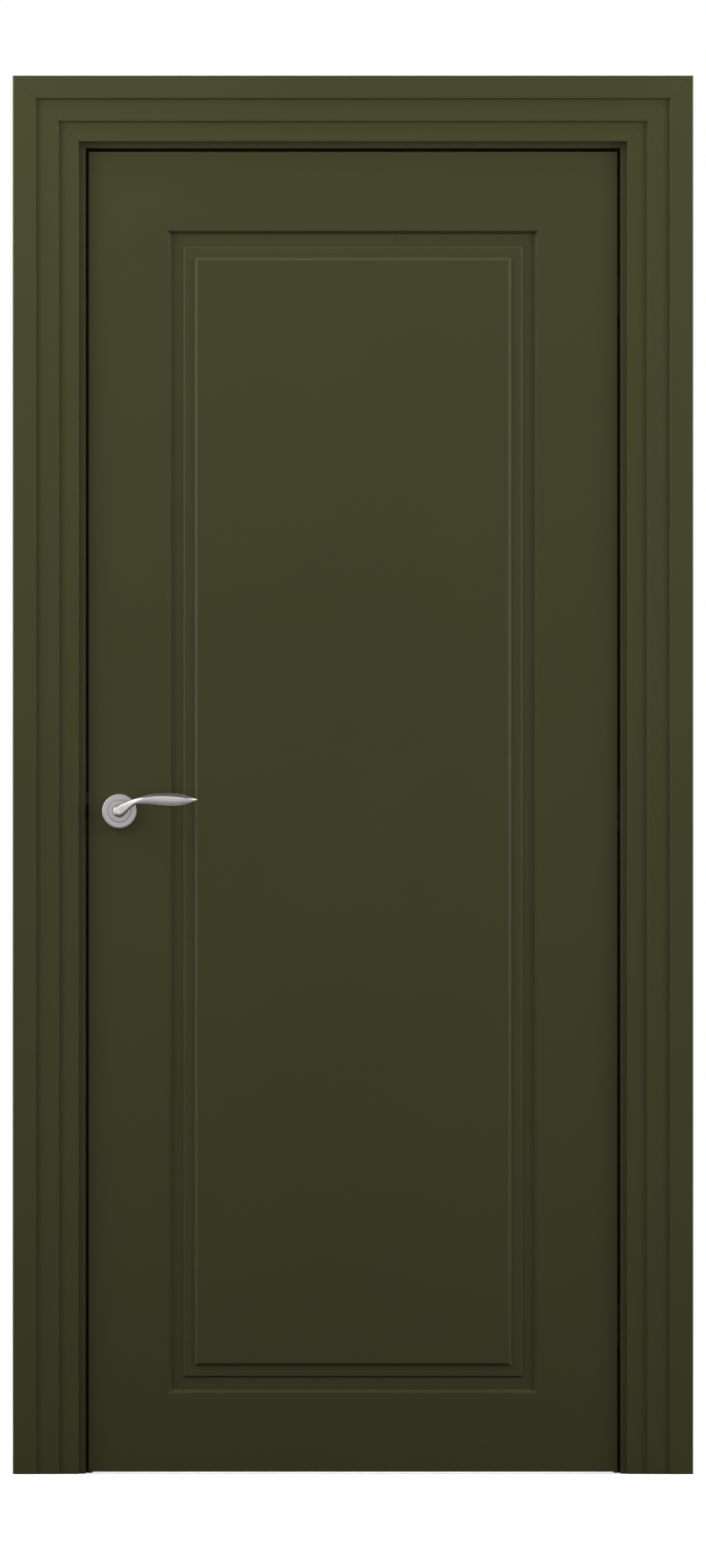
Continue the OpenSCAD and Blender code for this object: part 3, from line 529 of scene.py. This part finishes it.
def dull_rubber(name, colour, roughness, grain, height):
    """Rubber or moulded plastic: dark, with a dusty bloom and a fine grain."""
    material, tree, shader, where = new_material(name)
    bloom = noise(tree, where, 30.0, 3.0)
    pits = noise(tree, where, grain, 2.0)
    join(tree, blend_colours(tree, spread(tree, bloom, 0.35, 0.7), colour, tinted(colour, 0.6)),
         shader.inputs["Base Color"])
    join(tree, spread(tree, pits, *MIDDLE, roughness - 0.08, roughness + 0.08),
         shader.inputs["Roughness"])
    raise_bump(tree, calc(tree, "MULTIPLY", pits, height), shader)
    shader.inputs["Specular IOR Level"].default_value = 0.3
    return material


def dress(names, material, arris=0.0, segments=2):
    """Gives CAD nodes a finish. With an arris, their seams are closed, flat faces joined and
    their sharp edges rounded to that radius."""
    for name in names:
        node = NODES[name]
        if not node.material_slots:
            node.data.materials.append(material)
        for slot in node.material_slots:
            slot.material = material
        if arris:
            weld = node.modifiers.new("close_seams", "WELD")
            weld.merge_threshold = SEAM
            flat = node.modifiers.new("join_flat_faces", "DECIMATE")
            flat.decimate_type = "DISSOLVE"
            flat.angle_limit = LEVEL
            bevel = node.modifiers.new("soft_arrises", "BEVEL")
            bevel.width = arris
            bevel.segments = segments
            bevel.limit_method = "ANGLE"
            bevel.angle_limit = SHARP
            bevel.miter_outer = "MITER_ARC"
            bevel.harden_normals = True


# Surfaces

def skin_of_rings(name, rings, material, loop=False, sharp=40.0):
    """A closed mesh over an array of rings, points and coordinates. Each point is joined to
    its neighbours on its own ring and on the next, which makes quads. With loop, the last ring
    joins the first, and otherwise each end ring is closed by one face."""
    count, size, _ = rings.shape
    index = np.arange(count * size).reshape(count, size)
    lower = index if loop else index[:-1]
    upper = np.roll(index, -1, 0) if loop else index[1:]
    quads = np.stack([lower, np.roll(lower, -1, 1), np.roll(upper, -1, 1), upper], -1)
    faces = quads.reshape(-1, 4).tolist()
    if not loop:
        faces += [index[0, ::-1].tolist(), index[-1].tolist()]
    mesh = bpy.data.meshes.new(name)
    mesh.from_pydata(rings.reshape(-1, 3), [], faces)
    mesh.validate()
    mesh.polygons.foreach_set("use_smooth", np.ones(len(mesh.polygons), bool))
    mesh.set_sharp_from_angle(angle=math.radians(sharp))
    mesh.materials.append(material)
    piece = bpy.data.objects.new(name, mesh)
    bpy.context.scene.collection.objects.link(piece)
    return piece


def onto_leaf(points, back):
    """Moves points drawn on the leaf's face to the world. In the drawing X runs along the
    lever, Y up and Z outward, from the spindle's axis. For the back face Y of the world is
    mirrored."""
    x, y, z = np.moveaxis(points, -1, 0)
    depth = FACE_BACK + z if back else FACE_FRONT - z
    return np.stack([SPINDLE.x + x, depth, SPINDLE.z + y], -1)


def fillet(corners, radii, steps=4):
    """A line of points with its corners rounded. Each corner is replaced by a quadratic
    curve that starts and ends its radius away from the corner, on the lines beside it."""
    corners, radii = np.asarray(corners, float), np.asarray(radii, float)[:, None]
    before, after = np.roll(corners, 1, 0) - corners, np.roll(corners, -1, 0) - corners
    start = corners + before / np.linalg.norm(before, axis=1, keepdims=True) * radii
    end = corners + after / np.linalg.norm(after, axis=1, keepdims=True) * radii
    t = np.linspace(0, 1, steps)[None, :, None]
    curve = ((1 - t) ** 2 * start[:, None] + 2 * t * (1 - t) * corners[:, None]
             + t ** 2 * end[:, None])
    return curve.reshape(-1, 2)


def smooth(t):
    """A soft step from 0 to 1: three times t squared less twice t cubed."""
    t = np.clip(t, 0, 1)
    return t * t * (3 - 2 * t)


def rose_rings(s):
    """A rose cover: its section, a loop of distance from the axis and height off the leaf,
    turned once round the axis. The face has a fine line round the collar, and a second
    one beside the raised rim."""
    r, top, c = s.radius, s.height, s.collar
    inner, under = r - s.wall, top - s.wall - 0.2 * MM
    face, line_foot, rim_foot, rim = (top - drop * MM for drop in (0.6, 1.1, 1.0, 0.4))
    section = np.array([
        (s.bore, top), (c - 0.7 * MM, top), (c - 0.25 * MM, line_foot), (c + 0.3 * MM, line_foot),
        (c + 0.6 * MM, face), (r - 2.3 * MM, face), (r - 1.85 * MM, rim_foot),
        (r - 1.5 * MM, rim), (r, face), (r, 0), (inner, 0), (inner, under), (s.bore, under),
    ])
    radii = np.array([0.3, 0.3, 0.12, 0.12, 0.2, 0.2, 0.12, 0.1, 1.35, 0.15, 0.15, 0.3, 0.15]) * MM
    line = fillet(section, radii)
    turn = np.linspace(0, 2 * np.pi, s.segments, endpoint=False)[:, None]
    return np.stack([line[:, 0] * np.cos(turn), line[:, 0] * np.sin(turn),
                     np.broadcast_to(line[:, 1], (s.segments, len(line)))], -1)


def lever_line(x, s):
    """Height and stand-off of the lever's middle at a distance x from the spindle's axis. It
    climbs in a soft S to the rise, then waves by half a millimetre. It comes out a little as
    it leaves the elbow, and near the tip it bends back toward the leaf by a square."""
    climb, wave, wave_length = 17 * MM, 0.5 * MM, 76 * MM
    elbow_in, elbow_length, tip_in, tip_length = 4 * MM, 48 * MM, 7.5 * MM, 25 * MM
    past = x - 32 * MM
    height = s.rise * (1 - np.exp(-(x / climb) ** 1.5))
    height += wave * np.sin(2 * np.pi * past / wave_length) * smooth(past / (10 * MM))
    out = s.stand_off - 1.05 * s.depth - elbow_in * (1 - smooth(x / elbow_length))
    out -= tip_in * np.clip(1 - (s.reach - x) / tip_length, 0, 1) ** 2
    return height, out


def lever_halves(x, s):
    """Half-height and half-depth of the arm at a distance x. The half-height falls from the
    neck to the waist like a bell curve, swells to the grip with a sine and closes at the tip
    with a cosine."""
    grip_x, waist_x, neck_fades = 0.664 * s.reach, 0.2 * s.reach, 11.5 * MM
    swell = np.sin(np.pi / 2 * np.clip((x - waist_x) / (grip_x - waist_x), 0, 1)) ** 1.15
    neck = (s.neck - s.waist) * np.exp(-(x / neck_fades) ** 2)
    tall = s.waist + neck + (s.grip - s.waist) * swell
    close = np.clip((x - grip_x) / (s.reach - grip_x), 0, 1)
    tall = np.where(x > grip_x, s.grip * np.cos(np.pi / 2 * close) ** 0.72, tall)
    deep = s.depth * (1 - 0.2 * np.sin(np.pi * np.clip(x / grip_x, 0, 1)))
    deep = np.where(x > grip_x, s.depth * np.maximum(0, 1 - close ** 3) ** 0.6, deep)
    thinnest = 0.05 * MM
    return np.maximum(tall, thinnest), np.maximum(deep, thinnest)


def lever_front(up, lobe):
    """How far a section's front stands out at a height up, from -1 to 1. It is a low curve
    from the lower edge up to a crest, and a band that slopes back from the crest. On the grip
    the crest is near the top. With lobe it comes down, and the whole front slopes back."""
    crest = 0.26 - 0.7 * lobe
    low = np.clip((crest - up) / (1 + crest), 0, 1)
    high = np.clip((up - crest) / (1 - crest), 0, 1)
    band = 1 - 0.5 * high - 0.5 * high ** 2
    slope = (1 - 0.7 * high) * (1 - high ** 9) ** 0.5
    return np.where(up < crest, (1 - low ** 2.2) ** 0.5, band + (slope - band) * lobe)


def lever_rings(s, around=96):
    """A lever as rings, from the neck's end behind the rose, round the elbow and along the arm
    to the tip. The neck's rings lie flat and the arm's stand upright. The elbow's fan out about
    a point just inside the bend, from there to the neck's far side or to the arm's front,
    whichever is nearer. The blend of the two is the sum of their inverse powers, and a higher
    power gives a harder corner. Each point takes the path's height at its own distance
    along the arm, and the rings lean back as the path climbs. The arm's rings crowd together
    toward the tip."""
    a = np.linspace(0, 2 * np.pi, around, endpoint=False)[None]
    up, ahead, width = np.sin(a), np.cos(a) > 0, np.abs(np.cos(a))
    neck_rings, elbow_rings, arm_rings = 8, 40, 90
    neck_start, lobe_fades, hardness = 1 * MM, 26 * MM, 14.0
    pivot_x = s.neck + s.bend
    arm_out = lever_line(np.array(pivot_x), s)[1]
    arm_deep = lever_halves(np.array(pivot_x), s)[1]
    pivot_out = arm_out - arm_deep - s.bend

    straight = np.linspace(neck_start, pivot_out, neck_rings)[:-1, None]
    turned = np.linspace(0, np.pi / 2, elbow_rings)[:, None]

    def far(side, front):
        with np.errstate(divide="ignore"):
            to_side = (pivot_x + s.neck * side) / np.cos(turned)
            to_front = (arm_out + arm_deep * front - pivot_out) / np.sin(turned)
        return (to_side ** -hardness + to_front ** -hardness) ** (-1 / hardness)

    near = s.bend + (1 - width) * (far(0, 0) - s.bend)
    reached = np.where(ahead, far(width, lever_front(up, 1.0)), near)
    middle = np.maximum(0, pivot_x - (far(1, 1) + s.bend) / 2 * np.cos(turned))

    along = 1 - (1 - np.linspace(0, 1, arm_rings)[1:, None]) ** 1.6
    along = pivot_x + (s.reach - pivot_x) * along
    arm_front = lever_front(up, 1 - smooth((along - pivot_x) / lobe_fades))
    out = lever_line(along, s)[1] + lever_halves(along, s)[1] * np.where(ahead, arm_front, -width)

    x = np.concatenate([np.repeat(-s.neck * np.cos(a), len(straight), 0),
                        pivot_x - reached * np.cos(turned), np.repeat(along, around, 1)])
    out = np.concatenate([np.repeat(straight, around, 1),
                          pivot_out + reached * np.sin(turned), out])
    centre = np.concatenate([0 * straight, middle, along])
    turn = np.concatenate([0 * straight, turned, np.full_like(along, np.pi / 2)])
    step = 0.1 * MM
    climb = (lever_line(centre + step, s)[0] - lever_line(centre, s)[0]) / step
    lean = np.arctan(climb) * np.sin(turn)
    tall = lever_halves(centre, s)[0] * up
    height = lever_line(np.maximum(x, 0), s)[0] + tall * np.cos(lean)
    return np.stack([x - tall * np.sin(lean), height, out], -1)


def coil_rings(low, high, s, around=12):
    """A round wire wound along X in a box. Its middle line is a helix, and each ring of the
    wire lies square to it, on the radial axis and the one square to radius and wire."""
    rings_a_turn = 24
    turn = np.linspace(0, 2 * np.pi * s.turns, rings_a_turn * s.turns + 1)[:, None]
    half, radius = s.wire / 2, (high.y - low.y - s.wire) / 2
    climb = (high.x - low.x - s.wire) / turn[-1, 0]
    nothing = np.zeros_like(turn)
    radial = np.concatenate([nothing, np.sin(turn), np.cos(turn)], 1)
    wire = np.concatenate([nothing + climb, radius * np.cos(turn), -radius * np.sin(turn)], 1)
    wire /= np.linalg.norm(wire, axis=1, keepdims=True)
    other = np.cross(wire, radial)
    centre = radius * radial + np.concatenate(
        [low.x + half + climb * turn, nothing + (low.y + high.y) / 2,
         nothing + (low.z + high.z) / 2], 1)
    a = np.linspace(0, 2 * np.pi, around, endpoint=False)[None, :, None]
    return centre[:, None] + half * (np.cos(a) * radial[:, None] + np.sin(a) * other[:, None])


# Operators

class DOOR_OT_frame_finish(bpy.types.Operator):
    """Enamel on the jambs, stops and casings, with the faces toward the wall left bare"""
    bl_idname = "door.frame_finish"
    bl_label = "Frame and casings"

    def execute(self, context):
        paint, timber = context.scene.door_enamel, context.scene.door_timber
        hair = 0.1 * MM
        jambs = enamel(paint, timber, "enamel_jamb", [
            ("X", 0, FRAME_HIGH.x - hair), ("Z", 1, FRAME_HIGH.z - hair)])
        dress([f"jamb_{s}" for s in SIDES], jambs, arris=0.4 * MM)
        stops = enamel(paint, timber, "enamel_stop")
        dress([f"stop_{s}" for s in SIDES], stops, arris=0.6 * MM)
        front = enamel(paint, timber, "enamel_casing_front", [("Y", 1, FRAME_LOW.y - hair)])
        back = enamel(paint, timber, "enamel_casing_back", [("Y", -1, -FRAME_HIGH.y - hair)])
        dress([f"casing_front_{s}" for s in SIDES], front, arris=0.3 * MM)
        dress([f"casing_back_{s}" for s in SIDES], back, arris=0.3 * MM)
        return {"FINISHED"}


class DOOR_OT_leaf_finish(bpy.types.Operator):
    """Enamel on the leaf's skins and edges, and bare wood and board inside it"""
    bl_idname = "door.leaf_finish"
    bl_label = "Leaf"

    def execute(self, context):
        paint, timber = context.scene.door_enamel, context.scene.door_timber
        # The skins' enamel is painted darker than the frame's by the leaf's painted shade, for the
        # lesser light on the leaf.
        skin = enamel(paint, timber, "enamel_skin", shade=paint.leaf_painted_shade)
        dress(["skin_front", "skin_back"], skin, arris=0.4 * MM)
        paint_depth = 0.3 * MM
        edge = [("X", 0, LEAF_HIGH.x - paint_depth), ("Z", 1, LEAF_HIGH.z - paint_depth),
                ("Z", -1, -LEAF_LOW.z - paint_depth)]
        dress(["stile_lock", "stile_hinge"], pine(timber, paint, "pine_stile", "Z", edge))
        dress(["rail_top", "rail_bottom"], pine(timber, paint, "pine_rail", "X", edge[1:]))
        dress(["lock_block"], pine(timber, paint, "pine_block", "Z"))
        dress(["core"], chipboard(timber, "chipboard_core"))
        return {"FINISHED"}


class DOOR_OT_seals(bpy.types.Operator):
    """Dark rubber in the stops' grooves, and the black plastic box behind the strike"""
    bl_idname = "door.seals"
    bl_label = "Seals and dust box"

    def execute(self, context):
        look = context.scene.door_rubber
        rubber = dull_rubber("seal_rubber", look.seal, roughness=0.7, grain=900.0, height=0.03)
        plastic = dull_rubber("box_plastic", look.dust_box, roughness=0.45, grain=1600.0,
                              height=0.015)
        dress([f"seal_{s}" for s in SIDES], rubber)
        dress(["strike_box"], plastic, arris=0.2 * MM)
        return {"FINISHED"}


class DOOR_OT_latch_finish(bpy.types.Operator):
    """Satin plates, the black bolt, and the plated steel parts behind them"""
    bl_idname = "door.latch_finish"
    bl_label = "Latch and strike"

    def execute(self, context):
        look = context.scene.door_metal
        plate = satin_metal("nickel_plate", look.nickel, look.rose_roughness, "Z")
        bolt = satin_metal("black_bolt", look.black, 0.4, "X", brushing=0.3, blur=0.1)
        steel = zinc_plate("zinc_steel", look.steel)
        dress(["strike_plate", "latch_forend"], plate, arris=0.25 * MM)
        dress(["strike_screws", "latch_screws"], plate)
        dress(["latch_bolt"], bolt, arris=0.3 * MM)
        dress(["latch_case", "follower", "spindle", "rose_bolts",
               "rose_base_front", "rose_base_back", "lever_springs", "lever_grub_screws",
               "frame_screws"], steel)
        return {"FINISHED"}


class DOOR_OT_latch_spring(bpy.types.Operator):
    """The coil spring behind the latch bolt"""
    bl_idname = "door.latch_spring"
    bl_label = "Latch spring"

    def execute(self, context):
        s = context.scene.door_spring
        low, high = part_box("latch_spring")
        steel = zinc_plate("spring_steel", context.scene.door_metal.steel)
        piece = skin_of_rings("latch_coil", coil_rings(low, high, s), steel)
        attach(piece, "leaf")
        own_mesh(piece)
        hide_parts("latch_spring")
        return {"FINISHED"}


class DOOR_OT_hinge_finish(bpy.types.Operator):
    """Cast bodies, black steel arms and screws of the concealed hinges"""
    bl_idname = "door.hinge_finish"
    bl_label = "Hinges"

    def execute(self, context):
        look = context.scene.door_metal
        body = cast_metal("hinge_alloy", look.alloy, roughness=0.42)
        arm = satin_metal("black_arm", look.black, 0.45, "Z", brushing=0.3, blur=0.1)
        screw = satin_metal("hinge_screw_nickel", look.nickel, look.rose_roughness, "")
        bodies = [f"hinge_{side}_{h}" for side in ("frame", "leaf") for h in HINGES]
        dress(bodies, body, arris=0.3 * MM)
        dress([f"hinge_arms_{h}" for h in HINGES], arm, arris=0.2 * MM)
        dress(["hinge_frame_screws", "hinge_leaf_screws"], screw)
        return {"FINISHED"}


class DOOR_OT_roses(bpy.types.Operator):
    """Rose covers of satin nickel, turned from one section"""
    bl_idname = "door.roses"
    bl_label = "Roses"

    def execute(self, context):
        look = context.scene.door_metal
        metal = satin_metal("nickel_rose", look.nickel, look.rose_roughness, "", brushing=0.1)
        rings = rose_rings(context.scene.door_rose)
        for side, back in (("front", False), ("back", True)):
            placed = onto_leaf(rings, back)
            piece = skin_of_rings(f"rose_cover_{side}", placed[::-1] if back else placed,
                                  metal, loop=True, sharp=50)
            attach(piece, "leaf")
            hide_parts(f"rose_{side}")
        return {"FINISHED"}


class DOOR_OT_levers(bpy.types.Operator):
    """Levers of polished nickel, each one smooth skin from the neck to the tip"""
    bl_idname = "door.levers"
    bl_label = "Levers"

    def execute(self, context):
        look = context.scene.door_metal
        bright = tinted(look.nickel, 0.07)
        metal = satin_metal("nickel_lever", bright, look.lever_roughness, "X", brushing=0.06,
                            blur=0.04)
        rings = lever_rings(context.scene.door_lever)
        for side, back in (("front", False), ("back", True)):
            placed = onto_leaf(rings, back)
            piece = skin_of_rings(f"lever_skin_{side}", placed if back else placed[:, ::-1],
                                  metal, sharp=60)
            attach(piece, "lever")
            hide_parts(f"lever_{side}")
        return {"FINISHED"}


class DOOR_OT_studio(bpy.types.Operator):
    """Camera, lamps, white surroundings and a pale floor that keeps the door's shadow"""
    bl_idname = "door.studio"
    bl_label = "Studio"

    def execute(self, context):
        s = context.scene.door_studio
        place_camera(context, s)
        for side, face in ((1, FACE_FRONT), (-1, FACE_BACK)):
            light_side(s, side, Vector((0, face, s.aim)))
        surroundings(context, s)
        lay_floor(context, s)
        context.scene.view_settings.view_transform = "Standard"
        return {"FINISHED"}


def place_camera(context, s):
    """A level camera in front of the door's middle. The focal length makes the picture's
    long side take in the seen height at the leaf's face."""
    data = bpy.data.cameras.new("camera")
    data.lens = data.sensor_width * s.distance / s.seen
    data.clip_end = 200
    camera = bpy.data.objects.new("camera", data)
    camera.location = (0, FACE_FRONT - s.distance, s.eye)
    camera.rotation_euler = (math.pi / 2, 0, 0)
    context.scene.collection.objects.link(camera)
    context.scene.camera = camera


def light_side(s, side, target):
    """The softboxes on one side of the wall: side 1 is the front, -1 the back. The one that
    grazes the leaf from above leaves out the levers, which would mirror it too brightly."""
    end = "front" if side > 0 else "back"
    for name, x, y, z, size, power in (
        ("key", -0.7, -2.0, 3.3, (2.7, 1.6), s.key),
        ("left", -2.3, -0.95, 1.97, (0.6, 2.2), s.left),
        ("right", 2.3, -0.95, 1.97, (0.6, 2.2), s.right),
        ("left_rim", -1.6, -0.6, 2.9, (0.6, 1.2), s.left_rim),
        ("right_rim", 1.6, -0.6, 2.9, (0.6, 1.2), s.right_rim),
        ("left_graze", -1.9, -0.36, 1.4, (0.4, 2.6), s.side_graze),
        ("right_graze", 1.9, -0.36, 1.4, (0.4, 2.6), s.side_graze),
        ("top_graze", 0, -0.42, 3.7, (1.8, 0.3), s.top_graze),
    ):
        lamp = softbox(f"{name}_{end}", (x * side, y * side, z), target, size, power)
        if name == "top_graze":
            leave_out(lamp, ("lever_skin_front", "lever_skin_back"))


def leave_out(lamp, names):
    """Keeps a lamp's light off the named pieces, by a light linking collection."""
    unlit = bpy.data.collections.new(f"{lamp.name}_unlit")
    lamp.light_linking.receiver_collection = unlit
    for name in names:
        unlit.objects.link(bpy.data.objects[name])
    for item in unlit.collection_objects:
        item.light_linking.link_state = "EXCLUDE"


def softbox(name, place, target, size, power):
    """A rectangular lamp that faces the target and isn't seen itself by the camera."""
    data = bpy.data.lights.new(name, "AREA")
    data.shape = "RECTANGLE"
    data.size, data.size_y = size
    data.energy = power
    lamp = bpy.data.objects.new(name, data)
    lamp.location = place
    lamp.rotation_euler = (target - Vector(place)).to_track_quat("-Z", "Y").to_euler()
    lamp.visible_camera = False
    bpy.context.scene.collection.objects.link(lamp)
    return lamp


def seen_share(tree):
    """1 for camera, glossy and transmission rays and 0 for the rest, and the Light Path node."""
    path = tree.nodes.new("ShaderNodeLightPath")
    seen = calc(tree, "MAXIMUM", path.outputs["Is Camera Ray"], path.outputs["Is Glossy Ray"])
    return calc(tree, "MAXIMUM", seen, path.outputs["Is Transmission Ray"]), path


def surroundings(context, s):
    """White for what is seen, with a darker ceiling for metal, and a soft fill for the rest."""
    world = bpy.data.worlds.new("surroundings")
    world.use_nodes = True
    context.scene.world = world
    tree = world.node_tree
    seen, path = seen_share(tree)
    where = tree.nodes.new("ShaderNodeTexCoord").outputs["Generated"]
    split = tree.nodes.new("ShaderNodeSeparateXYZ")
    tree.links.new(where, split.inputs[0])
    ceiling_from, ceiling_full = 0.55, 0.92
    overhead = spread(tree, split.outputs["Z"], ceiling_from, ceiling_full, 1.0, s.ceiling)
    white = calc(tree, "MAXIMUM", overhead, path.outputs["Is Camera Ray"])
    fill = tree.nodes["Background"]
    fill.inputs["Color"].default_value = WHITE
    fill.inputs["Strength"].default_value = s.fill
    shown = tree.nodes.new("ShaderNodeBackground")
    shown.inputs["Color"].default_value = WHITE
    join(tree, white, shown.inputs["Strength"])
    choose = tree.nodes.new("ShaderNodeMixShader")
    join(tree, seen, choose.inputs[0])
    tree.links.new(fill.outputs[0], choose.inputs[1])
    tree.links.new(shown.outputs[0], choose.inputs[2])
    tree.links.new(choose.outputs[0], tree.nodes["World Output"].inputs["Surface"])


def lay_floor(context, s):
    """A square pale floor. The camera sees it glow, so it is white with the door's soft shadow
    near the door and plain white further off. Metal sees it darker near the door, and the
    light that it throws back on the door is that of a grey one."""
    half = s.floor / 2
    mesh = bpy.data.meshes.new("floor")
    corners = [(-half, -half, 0), (half, -half, 0), (half, half, 0), (-half, half, 0)]
    mesh.from_pydata(corners, [], [(0, 1, 2, 3)])
    floor = bpy.data.objects.new("floor", mesh)
    context.scene.collection.objects.link(floor)
    material, tree, shader, where = new_material("floor")
    tree.nodes.remove(shader)
    length = tree.nodes.new("ShaderNodeVectorMath")
    length.operation = "LENGTH"
    tree.links.new(where, length.inputs[0])
    away = length.outputs["Value"]
    near, shadow_ends, metal_ends = 0.8, 3.0, 5.5
    seen, path = seen_share(tree)
    camera = path.outputs["Is Camera Ray"]
    glow = tree.nodes.new("ShaderNodeEmission")
    glow.inputs["Color"].default_value = WHITE
    to_camera = spread(tree, away, near, shadow_ends, 0.62, 1.0)
    to_metal = spread(tree, away, near, metal_ends, s.floor_in_metal, 1.15)
    to_metal = calc(tree, "MULTIPLY", to_metal, calc(tree, "SUBTRACT", seen, camera))
    join(tree, calc(tree, "MULTIPLY_ADD", to_camera, camera, to_metal), glow.inputs["Strength"])
    pale = tree.nodes.new("ShaderNodeBsdfDiffuse")
    bounce = (s.bounce,) * 3
    join(tree, blend_colours(tree, camera, bounce, s.floor_colour), pale.inputs["Color"])
    lit = tree.nodes.new("ShaderNodeAddShader")
    tree.links.new(glow.outputs[0], lit.inputs[0])
    tree.links.new(pale.outputs[0], lit.inputs[1])
    tree.links.new(lit.outputs[0], tree.nodes["Material Output"].inputs["Surface"])
    mesh.materials.append(material)


class DOOR_PT_panel(bpy.types.Panel):
    """The door's sizes, finishes and pieces"""
    bl_idname = "DOOR_PT_panel"
    bl_label = "Door"
    bl_space_type = "VIEW_3D"
    bl_region_type = "UI"
    bl_category = "Door"

    def draw(self, context):
        for operator in OPERATORS:
            self.layout.operator(operator.bl_idname)
        for name, group in GROUPS.items():
            box = self.layout.box()
            box.label(text=group.__doc__)
            for item in group.__annotations__:
                box.prop(getattr(context.scene, name), item)


GROUPS = {
    "door_enamel": EnamelLook,
    "door_metal": MetalLook,
    "door_rubber": RubberLook,
    "door_timber": TimberLook,
    "door_lever": LeverSizes,
    "door_rose": RoseSizes,
    "door_spring": SpringSizes,
    "door_studio": StudioSettings,
}
OPERATORS = (
    DOOR_OT_frame_finish, DOOR_OT_leaf_finish, DOOR_OT_seals, DOOR_OT_latch_finish,
    DOOR_OT_latch_spring, DOOR_OT_hinge_finish, DOOR_OT_roses, DOOR_OT_levers, DOOR_OT_studio,
)


def register():
    for item in (*GROUPS.values(), *OPERATORS, DOOR_PT_panel):
        bpy.utils.register_class(item)
    for name, group in GROUPS.items():
        setattr(bpy.types.Scene, name, PointerProperty(type=group))


def unregister():
    for name in GROUPS:
        delattr(bpy.types.Scene, name)
    for item in (DOOR_PT_panel, *reversed(OPERATORS), *reversed(GROUPS.values())):
        bpy.utils.unregister_class(item)


def main():
    """Registers the classes and makes each piece in turn."""
    register()
    for operator in OPERATORS:
        group, name = operator.bl_idname.split(".")
        getattr(getattr(bpy.ops, group), name)()


if __name__ == "__main__":
    main()
